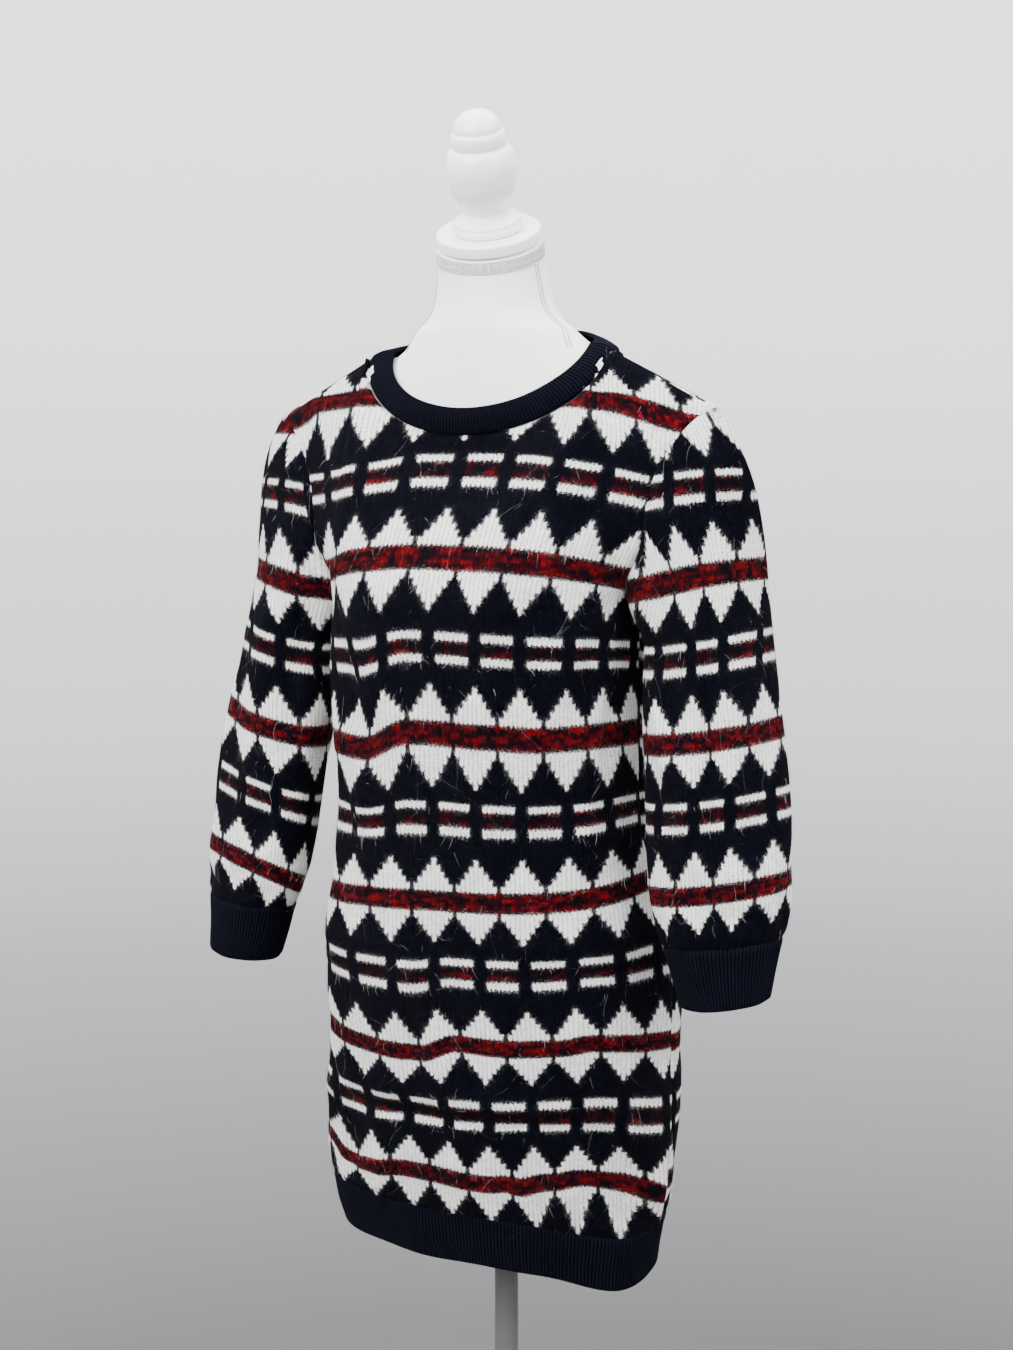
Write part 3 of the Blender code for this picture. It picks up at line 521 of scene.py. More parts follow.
def yoke_point(u, w, back):
    u, w = np.broadcast_arrays(np.asarray(u, float), np.asarray(w, float))
    rows, side = (ARM_BACK if back else ARM_FRONT), np.where(u >= 0, 1.0, -1.0)
    reach = curve(rows, 4, w)
    edge = vec(side * curve(rows, 1, w), curve(rows, 2, w), curve(rows, 3, w))
    return column(u * reach, w, back) + (np.abs(u)**3)[..., None] * (edge - column(side * reach, w, back))


def band_point(u, r, back):
    u, r = np.broadcast_arrays(np.asarray(u, float), np.asarray(r, float))
    a, side = np.abs(u), np.where(u >= 0, 1.0, -1.0)
    s, c = np.sin(a / NECK_U * pi / 2), np.maximum(np.cos(a / NECK_U * pi / 2), 0.0)
    if back:
        free = vec(side * 0.0985 * s, -0.032 + 0.077 * c, 1.3270 + 0.020 * c)
    else:
        free = vec(side * 0.0985 * s, -0.032 - 0.051 * c, 1.3270 - 0.057 * c**1.1)
    crown = 0.003 * vec(side * 0.5 * s, (0.8 if back else -0.9) * c, 0.8 - 0.35 * c)
    r = r[..., None]
    return (1 - r) * top_point(u, back) + r * free + 4 * r * (1 - r) * crown


def sleeve_point(psi, z, side):
    psi, z = np.broadcast_arrays(np.asarray(psi, float), np.asarray(z, float))
    out, fore, major, minor, turn, lift = (curve(SLEEVE, i, z) for i in range(1, 7))
    a, b, t = major * np.cos(psi), -minor * np.sin(psi), np.radians(turn)
    return vec(side * (out + a * np.cos(t) - b * np.sin(t)),
               fore + a * np.sin(t) + b * np.cos(t), z + lift * np.cos(psi))


def armhole(shares):
    edges = [yoke_point(1.0, np.array(shares), back) for back in (False, True)]
    runs = []
    for edge in edges:
        run = np.concatenate([[0.0], np.cumsum(np.linalg.norm(np.diff(edge, axis=0), axis=1))])
        runs.append(run / run[-1])
    points = np.concatenate([edges[0][::-1], edges[1][1:-1]])
    psis = np.concatenate([pi * (1 - runs[0][::-1]), pi * (1 + runs[1][1:-1])])
    return points, psis


def cap_points(points, psi, q, side):
    first = SLEEVE[0][0]
    low = sleeve_point(psi, first, 1)
    down = unit(low - sleeve_point(psi, first - 0.004, 1))
    span = np.linalg.norm(low - points, axis=-1, keepdims=True)
    over, under = np.maximum(0.0, np.cos(psi))**1.5, np.maximum(0.0, -np.cos(psi))**2
    flat = 1 - over - under
    start = unit(vec(0.50 * over + 0.35 * under + 0.25 * flat, -0.15 * np.sin(psi), -0.70))
    p = 1 - q
    bend = (p**3 * points + 3 * p * p * q * (points + start * span * 0.38)
            + 3 * p * q * q * (low + down * span * 0.36) + q**3 * low)
    return bend * np.array([side, 1.0, 1.0])


# ---------------------------------------------------------------- mesh helpers
collection = bpy.context.scene.collection


def add_object(name, points, faces, material, corners=None, smooth=True):
    mesh = bpy.data.meshes.new(name)
    mesh.from_pydata(np.asarray(points).tolist(), [], faces)
    if corners is not None:
        layer = mesh.uv_layers.new(name="knit")
        layer.data.foreach_set("uv", np.asarray(corners, np.float32).ravel())
    if smooth:
        mesh.shade_smooth()
    mesh.materials.append(material)
    obj = bpy.data.objects.new(name, mesh)
    collection.objects.link(obj)
    return obj


def normals_of(grid, closed, away):
    """Outward normals of a grid of points; away is a point inside it, or one for each row."""
    if closed:
        across = np.roll(grid, -1, axis=1) - np.roll(grid, 1, axis=1)
    else:
        across = np.gradient(grid, axis=1)
    along = np.gradient(grid, axis=0)
    n = np.cross(across, along)
    size = np.linalg.norm(n, axis=-1, keepdims=True)
    n = n / np.maximum(size, 1e-12)
    if np.sum(n * (grid - away)) < 0:
        n = -n
    return n


def fold_field(x, z, scale, folds):
    """The lift of a list of folds at points; x is turned into metres by scale."""
    total = np.zeros(np.broadcast(x, z).shape)
    for x0, z0, x1, z1, width, lift in folds:
        dx, dz = (x1 - x0) * scale, z1 - z0
        length = np.hypot(dx, dz)
        px, pz = (x - x0) * scale, z - z0
        t = (px * dx + pz * dz) / length**2
        off = (px * dz - pz * dx) / length
        along = np.clip(t, 0.0, 1.0)
        beyond = np.abs(t - along) * length
        bow = 1 + 0.25 * np.sin(3.1 * along + 40 * x0)
        total += (lift * np.exp(-(off / (width * bow))**2) * np.exp(-(beyond / (1.6 * width))**2)
                  * (0.45 + 0.55 * np.sin(pi * along)))
    return total


def uneven(x, z, size, seed):
    """Slow unevenness of soft cloth."""
    pick = np.random.default_rng(seed)
    total = np.zeros(np.broadcast(x, z).shape)
    for _ in range(7):
        turn, wave, phase = pick.uniform(0, pi), pick.uniform(0.035, 0.11), pick.uniform(0, 2 * pi)
        total += np.sin(2 * pi * (x * np.cos(turn) + z * np.sin(turn)) / wave + phase) * wave
    return total / 0.07 / 3.5 * size


def shell(name, outer, normals, thick, closed, s, r, material, tip_rows=0):
    """A wall with its own thickness. The rows end in a rounded tip if tip_rows is set.
    s and r hold the stitch and row of each point, with one column more if the wall is closed."""
    rows, cols = outer.shape[:2]
    inner = outer - thick * normals
    layers, ss, rr = [outer], [s], [r]
    if tip_rows:
        last, n = outer[-1], normals[-1]
        ahead = unit(outer[-1] - outer[-2])
        middle = last - n * thick / 2
        for i in range(1, tip_rows + 1):
            a = pi * i / (tip_rows + 1)
            layers.append((middle + n * thick / 2 * cos(a) + ahead * thick / 2 * sin(a))[None])
            ss.append(s[-1:])
            rr.append(r[-1:])
    layers.append(inner[::-1])
    ss.append(s[::-1])
    rr.append(r[::-1])
    points = np.concatenate(layers)
    s, r = np.concatenate(ss), np.concatenate(rr)
    total = points.shape[0]
    a, c = np.meshgrid(np.arange(total), np.arange(cols if closed else cols - 1), indexing="ij")
    a, c = a.ravel(), c.ravel()
    b, d = (a + 1) % total, (c + 1) % cols
    faces = np.stack([a * cols + c, a * cols + d, b * cols + d, b * cols + c], 1)
    corner_c = np.stack([c, c + 1, c + 1, c], 1)
    corner_a = np.stack([a, a, b, b], 1)
    uv = np.stack([s[corner_a, corner_c], r[corner_a, corner_c]], -1)
    if not closed:
        side = []
        side_uv = []
        for e, flip in ((0, False), (cols - 1, True)):
            i = np.arange(rows - 1)
            j = total - 1 - i
            quad = np.stack([i * cols + e, (i + 1) * cols + e, (j - 1) * cols + e, j * cols + e], 1)
            rows_of = np.stack([i, i + 1, j - 1, j], 1)
            if flip:
                quad, rows_of = quad[:, ::-1], rows_of[:, ::-1]
            side.append(quad)
            side_uv.append(np.stack([s[rows_of, e], r[rows_of, e]], -1))
        faces = np.concatenate([faces] + side)
        uv = np.concatenate([uv] + side_uv)
    flat = points.reshape(-1, 3)
    corners = flat[faces]
    volume = np.sum(corners[:, 0] * (np.cross(corners[:, 1], corners[:, 2]) + np.cross(corners[:, 2], corners[:, 3])))
    if volume < 0:
        faces, uv = faces[:, ::-1], uv[:, ::-1]
    return add_object(name, flat, faces.tolist(), material, uv)


def naps(name, outer, normals, closed, s, r, count, seed, material, length=0.0065, thick=0.000045, steps=2, wandered=0.012):
    """Loose hairs of the yarn: thin curved slivers that lie close to the cloth."""
    pick = np.random.default_rng(seed)
    rows, cols = outer.shape[:2]
    wide = cols if closed else cols - 1
    nxt = (np.arange(wide) + 1) % cols
    area = np.linalg.norm(np.cross(outer[1:, :wide] - outer[:-1, :wide], outer[:-1, nxt] - outer[:-1, :wide]), axis=-1)
    cell = pick.choice(area.size, count, p=(area / area.sum()).ravel())
    a, c = cell // wide, cell % wide
    d = (c + 1) % cols
    f, g = pick.random(count)[:, None], pick.random(count)[:, None]

    def at(grid, last):
        return ((1 - f) * ((1 - g) * grid[a, c] + g * grid[a, last])
                + f * ((1 - g) * grid[a + 1, c] + g * grid[a + 1, last]))

    root, n = at(outer, d), unit(at(normals, d))
    s_root, r_root = at(s[..., None], c + 1)[:, 0], at(r[..., None], c + 1)[:, 0]
    down = np.array([0.0, 0.0, -1.0]) - n * n[:, 2:3] * -1
    down = unit(down - n * np.sum(down * n, 1, keepdims=True) + 1e-9)
    side = np.cross(n, down)
    turn = pick.normal(0, 1.25, count)[:, None]
    long = length * pick.gamma(4.0, 0.25, count)[:, None].clip(0.4, 2.2)
    lift = pick.uniform(0.05, 0.30, count)[:, None]
    curl = pick.normal(0, 0.85, count)[:, None]
    bend = pick.normal(0, 1.2, count)[:, None]
    path = [root + n * 0.0001]
    for i in range(steps):
        q = (i + 0.5) / steps
        a = turn + curl * q + bend * (q - 0.5)**2
        way = down * np.cos(a) + side * np.sin(a)
        path.append(path[-1] + (way + n * lift * (1.2 - 1.5 * q)) * long / steps)
    roll = pick.uniform(0, pi, count)[:, None]
    flatways = side * np.cos(roll) + n * np.sin(roll)
    thin = thick * pick.uniform(0.6, 1.4, count)[:, None]
    rings = []
    for i in range(steps):
        wide_here = thin * (1 - 0.5 * i / steps)
        rings += [path[i] - flatways * wide_here, path[i] + flatways * wide_here]
    rings.append(path[-1])
    per = len(rings)
    points = np.stack(rings, 1).reshape(-1, 3)
    start = np.arange(count) * per
    quads = np.concatenate([np.stack([start + 2 * i, start + 2 * i + 1, start + 2 * i + 3, start + 2 * i + 2], 1)
                            for i in range(steps - 1)])
    tris = np.stack([start + 2 * steps - 2, start + 2 * steps - 1, start + 2 * steps], 1)
    # some hairs have wandered in from the white stitches
    stray = pick.random(count) < wandered
    sj = np.where(stray, 0.0, s_root + pick.normal(0, 0.35, count))
    rj = np.where(stray, 8.5, r_root + pick.normal(0, 0.6, count))
    uv = np.stack([sj, rj], -1)
    corners = np.concatenate([np.repeat(uv, 4, 0)] * (steps - 1) + [np.repeat(uv, 3, 0)])
    return add_object(name, points, quads.tolist() + tris.tolist(), material, corners)


# ---------------------------------------------------------------- materials
class Nodes:
    """Short ways to write a shader's nodes."""

    def __init__(self, tree):
        self.tree = tree

    def new(self, kind, **settings):
        node = self.tree.nodes.new(kind)
        for key, value in settings.items():
            setattr(node, key, value)
        return node

    def put(self, socket, value):
        if isinstance(value, bpy.types.NodeSocket):
            self.tree.links.new(value, socket)
        else:
            socket.default_value = value

    def math(self, operation, a, b=0.0, c=0.0):
        node = self.new("ShaderNodeMath", operation=operation)
        for socket, value in zip(node.inputs, (a, b, c)):
            self.put(socket, value)
        return node.outputs[0]

    def mix(self, share, a, b, blend="MIX"):
        node = self.new("ShaderNodeMix", data_type="RGBA", blend_type=blend)
        self.put(node.inputs[0], share)
        self.put(node.inputs[6], a)
        self.put(node.inputs[7], b)
        return node.outputs[2]

    def noise(self, vector, scale, detail=2.0, rough=0.5, size="3D"):
        node = self.new("ShaderNodeTexNoise", noise_dimensions=size)
        self.put(node.inputs["Vector"], vector)
        node.inputs["Scale"].default_value = scale
        node.inputs["Detail"].default_value = detail
        node.inputs["Roughness"].default_value = rough
        return node

    def spread(self, value, low, high, to_low=0.0, to_high=1.0):
        node = self.new("ShaderNodeMapRange")
        self.put(node.inputs[0], value)
        for i, number in zip((1, 2, 3, 4), (low, high, to_low, to_high)):
            node.inputs[i].default_value = number
        return node.outputs[0]

    def join(self, x, y, z=0.0):
        node = self.new("ShaderNodeCombineXYZ")
        for socket, value in zip(node.inputs, (x, y, z)):
            self.put(socket, value)
        return node.outputs[0]


def chart_group():
    """The jacquard's chart, ten stitches by forty-eight rows: where it is white, marled, and where each stitch is."""
    tree = bpy.data.node_groups.new("jacquard_chart", "ShaderNodeTree")
    for name in ("S", "R"):
        tree.interface.new_socket(name, in_out="INPUT", socket_type="NodeSocketFloat")
    for name in ("White", "Marl", "Column", "Row", "Across", "Along"):
        tree.interface.new_socket(name, in_out="OUTPUT", socket_type="NodeSocketFloat")
    k = Nodes(tree)
    given, result = k.new("NodeGroupInput"), k.new("NodeGroupOutput")
    s = k.math("ADD", given.outputs[0], 0.5)
    stitch = k.math("FLOOR", s)
    across = k.math("ABSOLUTE", k.math("SUBTRACT", k.math("MULTIPLY", k.math("FRACT", s), 2.0), 1.0))
    r = k.math("ADD", given.outputs[1], k.math("MULTIPLY", k.math("SUBTRACT", across, 0.5), 0.66))
    line = k.math("FLOOR", r)
    row = k.math("FLOORED_MODULO", line, 48.0)
    near = k.math("SUBTRACT", k.math("FLOORED_MODULO", k.math("ADD", stitch, 5.0), 10.0), 5.0)
    near = k.math("ABSOLUTE", near)
    dash = k.math("ABSOLUTE", k.math("SUBTRACT", k.math("FLOORED_MODULO", stitch, 10.0), 5.0))
    up = k.math("FLOOR", k.math("MULTIPLY", row, 0.5))
    down = k.math("FLOOR", k.math("MULTIPLY", k.math("SUBTRACT", 26.0, row), 0.5))
    up = k.math("MULTIPLY", k.math("LESS_THAN", row, 9.5), k.math("LESS_THAN", near, k.math("ADD", up, 0.5)))
    rows_down = k.math("MULTIPLY", k.math("GREATER_THAN", row, 16.5), k.math("LESS_THAN", row, 26.5))
    down = k.math("MULTIPLY", rows_down, k.math("LESS_THAN", near, k.math("ADD", down, 0.5)))
    dash = k.math("LESS_THAN", dash, 3.5)
    first = k.math("MULTIPLY", k.math("GREATER_THAN", row, 32.5), k.math("LESS_THAN", row, 34.5))
    second = k.math("MULTIPLY", k.math("GREATER_THAN", row, 39.5), k.math("LESS_THAN", row, 41.5))
    between = k.math("MULTIPLY", k.math("GREATER_THAN", row, 34.5), k.math("LESS_THAN", row, 39.5))
    white = k.math("ADD", k.math("ADD", up, down), k.math("MULTIPLY", dash, k.math("ADD", first, second)))
    stripe = k.math("MULTIPLY", k.math("GREATER_THAN", row, 9.5), k.math("LESS_THAN", row, 16.5))
    below = k.math("MULTIPLY", k.math("LESS_THAN", row, 35.5), 0.44)
    above = k.math("MULTIPLY", k.math("GREATER_THAN", row, 37.5), 0.50)
    thin = k.math("ADD", k.math("ADD", below, above), 0.12)
    thin = k.math("MULTIPLY", k.math("MULTIPLY", dash, between), thin)
    marl = k.math("ADD", stripe, thin)
    for socket, value in zip(result.inputs, (white, marl, stitch, line, across, k.math("FRACT", r))):
        tree.links.new(value, socket)
    return tree


CHART = chart_group()
NAVY = (0.0009, 0.0010, 0.0028, 1.0)


def knit_colour(k, s, r):
    """Colour of the jacquard at a stitch and row, and the chart's outputs at that place."""
    node = k.new("ShaderNodeGroup")
    node.node_tree = CHART
    k.put(node.inputs[0], s)
    k.put(node.inputs[1], r)
    white, marl, stitch, line, across, along = node.outputs
    place = k.join(stitch, line)
    dice = k.new("ShaderNodeTexWhiteNoise", noise_dimensions="2D")
    k.put(dice.inputs["Vector"], place)
    streak = k.noise(k.join(k.math("MULTIPLY", s, 0.20), k.math("MULTIPLY", r, 0.42)), 1.0, 3.0, 0.6, "2D")
    tone = k.math("ADD", k.math("MULTIPLY", streak.outputs[0], 1.15), k.math("MULTIPLY", dice.outputs[0], 0.42))
    tone = k.math("SUBTRACT", tone, 0.27)
    tone = k.math("MULTIPLY", tone, k.math("ADD", k.math("MULTIPLY", marl, 0.42), 0.58))
    ramp = k.new("ShaderNodeValToRGB")
    stops = ramp.color_ramp.elements
    stops[0].position, stops[0].color = 0.32, (0.0020, 0.0014, 0.0036, 1)
    stops[1].position, stops[1].color = 0.88, (0.135, 0.0027, 0.0042, 1)
    for at, colour in ((0.44, (0.009, 0.0012, 0.0028, 1)), (0.56, (0.031, 0.0015, 0.0031, 1)), (0.70, (0.074, 0.0020, 0.0037, 1))):
        stop = stops.new(at)
        stop.color = colour
    k.put(ramp.inputs[0], tone)
    dark = k.mix(dice.outputs[0], NAVY, (0.0019, 0.0020, 0.0050, 1.0))
    colour = k.mix(k.math("GREATER_THAN", marl, 0.1), dark, ramp.outputs[0])
    light = k.mix(dice.outputs[0], (0.70, 0.69, 0.67, 1.0), (0.83, 0.82, 0.80, 1.0))
    return k.mix(white, colour, light), node


def cloth_material(name, hair=False):
    material = bpy.data.materials.new(name)
    material.use_nodes = True
    tree = material.node_tree
    k = Nodes(tree)
    shader = tree.nodes["Principled BSDF"]
    uv = k.new("ShaderNodeUVMap", uv_map="knit")
    split = k.new("ShaderNodeSeparateXYZ")
    k.put(split.inputs[0], uv.outputs[0])
    s, r = split.outputs[0], split.outputs[1]
    if hair:
        colour, _ = knit_colour(k, s, r)
        colour = k.mix(0.03, colour, (0.22, 0.22, 0.25, 1.0))
        tree.links.new(colour, shader.inputs["Base Color"])
        shader.inputs["Roughness"].default_value = 0.80
        shader.inputs["Specular IOR Level"].default_value = 0.10
        return material
    place = k.new("ShaderNodeTexCoord").outputs["Object"]

    def shaken(reach_s, reach_r, scale, detail):
        fuzz = k.noise(place, scale, detail, 0.65)
        parts = k.new("ShaderNodeSeparateColor")
        k.put(parts.inputs[0], fuzz.outputs["Color"])
        ds = k.math("MULTIPLY", k.math("SUBTRACT", parts.outputs[0], 0.5), reach_s)
        dr = k.math("MULTIPLY", k.math("SUBTRACT", parts.outputs[1], 0.5), reach_r)
        return knit_colour(k, k.math("ADD", s, ds), k.math("ADD", r, dr))

    # the stitches, their edges worn a little ragged, and loose fibre drawn over from around them
    colour, node = shaken(1.1, 1.7, 620.0, 2.0)
    near, _ = shaken(3.6, 6.0, 900.0, 2.0)
    wide, _ = shaken(8.5, 15.0, 1500.0, 3.0)
    colour = k.mix(0.24, colour, near)
    hazy = k.noise(place, 95.0, 3.0, 0.6)
    colour = k.mix(k.spread(hazy.outputs[0], 0.46, 0.74, 0.0, 0.06), colour, wide)
    white, marl, stitch, line, across, along = node.outputs
    # each half of a stitch is a rounded strand; painted shade darkens the colour in the gaps between strands and
    # loops, and a painted highlight lifts it a little on the crests
    strand = k.math("SINE", k.math("MULTIPLY", k.math("ADD", k.math("MULTIPLY", across, 0.80), 0.20), pi))
    loop = k.math("SINE", k.math("MULTIPLY", along, pi))
    height = k.math("MULTIPLY", k.math("POWER", strand, 0.6), k.math("ADD", k.math("MULTIPLY", loop, 0.45), 0.55))
    fibre = k.noise(place, 1700.0, 2.0, 0.6)
    height = k.math("ADD", k.math("MULTIPLY", height, 0.75), k.math("MULTIPLY", fibre.outputs[0], 0.5))
    # painted shade in the stitch gaps and painted highlight on the crests, as a multiplier on the colour; slow patches
    # of real tone are laid over it next
    painted_stitch_shade_and_tone = k.spread(height, 0.30, 0.88, 0.30, 1.08)
    patch = k.noise(place, 26.0, 3.0, 0.55)
    painted_stitch_shade_and_tone = k.math("MULTIPLY", painted_stitch_shade_and_tone, k.spread(patch.outputs[0], 0.3, 0.7, 0.93, 1.05))
    shade = k.new("ShaderNodeCombineColor")
    for socket in shade.inputs[:3]:
        k.put(socket, painted_stitch_shade_and_tone)
    colour = k.mix(1.0, colour, shade.outputs[0], "MULTIPLY")
    tree.links.new(colour, shader.inputs["Base Color"])
    bump = k.new("ShaderNodeBump")
    bump.inputs["Strength"].default_value = 1.0
    bump.inputs["Distance"].default_value = 0.0014
    k.put(bump.inputs["Height"], height)
    tree.links.new(bump.outputs[0], shader.inputs["Normal"])
    k.put(shader.inputs["Roughness"], k.spread(fibre.outputs[0], 0.3, 0.7, 0.84, 0.98))
    shader.inputs["Specular IOR Level"].default_value = 0.008
    shader.inputs["Sheen Weight"].default_value = 0.008
    shader.inputs["Sheen Roughness"].default_value = 0.5
    return material


def rib_material():
    material = bpy.data.materials.new("rib_navy")
    material.use_nodes = True
    tree = material.node_tree
    k = Nodes(tree)
    shader = tree.nodes["Principled BSDF"]
    uv = k.new("ShaderNodeUVMap", uv_map="knit")
    split = k.new("ShaderNodeSeparateXYZ")
    k.put(split.inputs[0], uv.outputs[0])
    x, y = split.outputs[0], split.outputs[1]
    place = k.new("ShaderNodeTexCoord").outputs["Object"]
    ridge = k.math("SINE", k.math("MULTIPLY", k.math("FRACT", x), pi))
    bend = k.math("ABSOLUTE", k.math("SUBTRACT", k.math("MULTIPLY", k.math("FRACT", x), 2.0), 1.0))
    loops = k.math("SINE", k.math("MULTIPLY", k.math("FRACT", k.math("ADD", y, k.math("MULTIPLY", bend, 0.8))), pi))
    fibre = k.noise(place, 1500.0, 3.0, 0.65)
    height = k.math("ADD", k.math("MULTIPLY", loops, 0.5), k.math("MULTIPLY", fibre.outputs[0], 0.7))
    patch = k.noise(place, 34.0, 3.0, 0.6)
    # painted shade: the colour darkens into the troughs between the ribs and the gaps between loops, with slow patches
    # of tone over it
    tone = k.math("MULTIPLY", k.spread(ridge, 0.15, 0.95, 0.0, 1.0), k.spread(height, 0.2, 1.0, 0.45, 1.2))
    tone = k.math("MULTIPLY", tone, k.spread(patch.outputs[0], 0.3, 0.7, 0.8, 1.2))
    colour = k.mix(tone, (0.0002, 0.0002, 0.0005, 1.0), (0.0034, 0.0037, 0.0082, 1.0))
    tree.links.new(colour, shader.inputs["Base Color"])
    bump = k.new("ShaderNodeBump")
    bump.inputs["Strength"].default_value = 0.7
    bump.inputs["Distance"].default_value = 0.0007
    k.put(bump.inputs["Height"], height)
    tree.links.new(bump.outputs[0], shader.inputs["Normal"])
    k.put(shader.inputs["Roughness"], k.spread(fibre.outputs[0], 0.3, 0.7, 0.82, 0.97))
    shader.inputs["Specular IOR Level"].default_value = 0.01
    shader.inputs["Sheen Weight"].default_value = 0.01
    shader.inputs["Sheen Roughness"].default_value = 0.5
    return material


def plain_material(name, low, high, scale, rough, bump_scale, bump_size, bump_strength=0.25, coat=0.0):
    """A surface of one colour with slow and fine unevenness."""
    material = bpy.data.materials.new(name)
    material.use_nodes = True
    tree = material.node_tree
    k = Nodes(tree)
    shader = tree.nodes["Principled BSDF"]
    place = k.new("ShaderNodeTexCoord").outputs["Object"]
    patch = k.noise(place, scale, 4.0, 0.55)
    tree.links.new(k.mix(patch.outputs[0], (*low, 1.0), (*high, 1.0)), shader.inputs["Base Color"])
    fine = k.noise(place, bump_scale, 3.0, 0.6)
    k.put(shader.inputs["Roughness"], k.spread(patch.outputs[0], 0.3, 0.7, rough[0], rough[1]))
    bump = k.new("ShaderNodeBump")
    bump.inputs["Strength"].default_value = bump_strength
    bump.inputs["Distance"].default_value = bump_size
    k.put(bump.inputs["Height"], fine.outputs[0])
    tree.links.new(bump.outputs[0], shader.inputs["Normal"])
    shader.inputs["Coat Weight"].default_value = coat
    shader.inputs["Coat Roughness"].default_value = 0.25
    return material


def jersey_material():
    """Fine stretched jersey: small upright ribs of stitches, worked out from the place."""
    material = bpy.data.materials.new("jersey_cover")
    material.use_nodes = True
    tree = material.node_tree
    k = Nodes(tree)
    shader = tree.nodes["Principled BSDF"]
    place = k.new("ShaderNodeTexCoord").outputs["Object"]
    weave = k.new("ShaderNodeTexWave", wave_type="BANDS", bands_direction="Z")
    k.put(weave.inputs["Vector"], place)
    weave.inputs["Scale"].default_value = 330.0
    weave.inputs["Distortion"].default_value = 1.5
    fine = k.noise(place, 1300.0, 2.0, 0.6)
    patch = k.noise(place, 14.0, 3.0, 0.5)
    colour = k.mix(patch.outputs[0], (0.76, 0.75, 0.725, 1.0), (0.84, 0.83, 0.80, 1.0))
    tree.links.new(colour, shader.inputs["Base Color"])
    height = k.math("ADD", k.math("MULTIPLY", weave.outputs["Fac"], 0.5), fine.outputs[0])
    bump = k.new("ShaderNodeBump")
    bump.inputs["Strength"].default_value = 0.22
    bump.inputs["Distance"].default_value = 0.0004
    k.put(bump.inputs["Height"], height)
    tree.links.new(bump.outputs[0], shader.inputs["Normal"])
    k.put(shader.inputs["Roughness"], k.spread(fine.outputs[0], 0.3, 0.7, 0.74, 0.9))
    shader.inputs["Sheen Weight"].default_value = 0.12
    shader.inputs["Sheen Roughness"].default_value = 0.4
    shader.inputs["Specular IOR Level"].default_value = 0.25
    return material


knit = cloth_material("jacquard_knit")
nap = cloth_material("loose_fibre", hair=True)
rib = rib_material()
jersey = jersey_material()
wood = plain_material("white_painted_wood", (0.80, 0.80, 0.82), (0.86, 0.86, 0.875), 9.0, (0.26, 0.38), 240.0, 0.0005, 0.12, 0.35)
# the pole's grey paint, darkened well below its own grey by painted shade for the dress's shadow over it
tube = plain_material("grey_tube_paint_and_painted_shade", (0.066, 0.066, 0.064), (0.084, 0.084, 0.081), 12.0, (0.34, 0.46), 500.0, 0.0003, 0.12)
thread = plain_material("overlock_thread", (0.20, 0.20, 0.19), (0.98, 0.97, 0.94), 620.0, (0.7, 0.9), 1800.0, 0.0003, 0.3)
strip = plain_material("neck_tape", (0.14, 0.14, 0.135), (1.0, 0.99, 0.96), 640.0, (0.75, 0.92), 1500.0, 0.0006, 0.5)
seam_thread = plain_material("seam_thread", (0.06, 0.06, 0.055), (0.52, 0.51, 0.49), 420.0, (0.7, 0.9), 1800.0, 0.0003, 0.3)


def finish_piece(obj, replaces=()):
    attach(obj, "root")
    if replaces:
        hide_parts(*replaces)
    return obj


# ---------------------------------------------------------------- front and back
def edge_runs(grid):
    """Distances of each point from a grid's left, right and top edges, measured along the grid."""
    across = np.linalg.norm(np.diff(grid, axis=1), axis=-1)
    left = np.concatenate([np.zeros((grid.shape[0], 1)), np.cumsum(across, 1)], 1)
    right = left[:, -1:] - left
    up = np.linalg.norm(np.diff(grid, axis=0), axis=-1)
    bottom = np.concatenate([np.zeros((1, grid.shape[1])), np.cumsum(up, 0)], 0)
    return left, right, bottom, bottom[-1:] - bottom


def groove(distance, deep=0.0010, wide=0.0030):
    """A seam: the cloth dips at it and stands a little proud beside it."""
    return -deep * np.exp(-(distance / wide)**2) + 0.4 * deep * np.exp(-((distance - 2.6 * wide) / (1.2 * wide))**2)


YOKE_SHARES = 1 - (1 - np.linspace(0, 1, 61))**1.25
COLS = np.linspace(-1, 1, 131)
COLS = np.sign(COLS) * (1 - (1 - np.abs(COLS))**1.30)


def tucked(grid, n, s, r, sides=False):
    """Seam allowances: the first and last rows, and the sides, turn in under the next piece's edge."""
    for turn in range(2):
        if turn and not sides:
            break
        if turn:
            grid, n, s, r = (np.swapaxes(a, 0, 1) for a in (grid, n, s, r))
        low = grid[:1] - unit(grid[1:2] - grid[:1]) * 0.0014 - n[:1] * 0.0012
        high = grid[-1:] - unit(grid[-2:-1] - grid[-1:]) * 0.0014 - n[-1:] * 0.0012
        grid = np.concatenate([low, grid, high])
        n, s, r = (np.concatenate([a[:1], a, a[-1:]]) for a in (n, s, r))
        if turn:
            grid, n, s, r = (np.swapaxes(a, 0, 1) for a in (grid, n, s, r))
    return grid, n, s, r


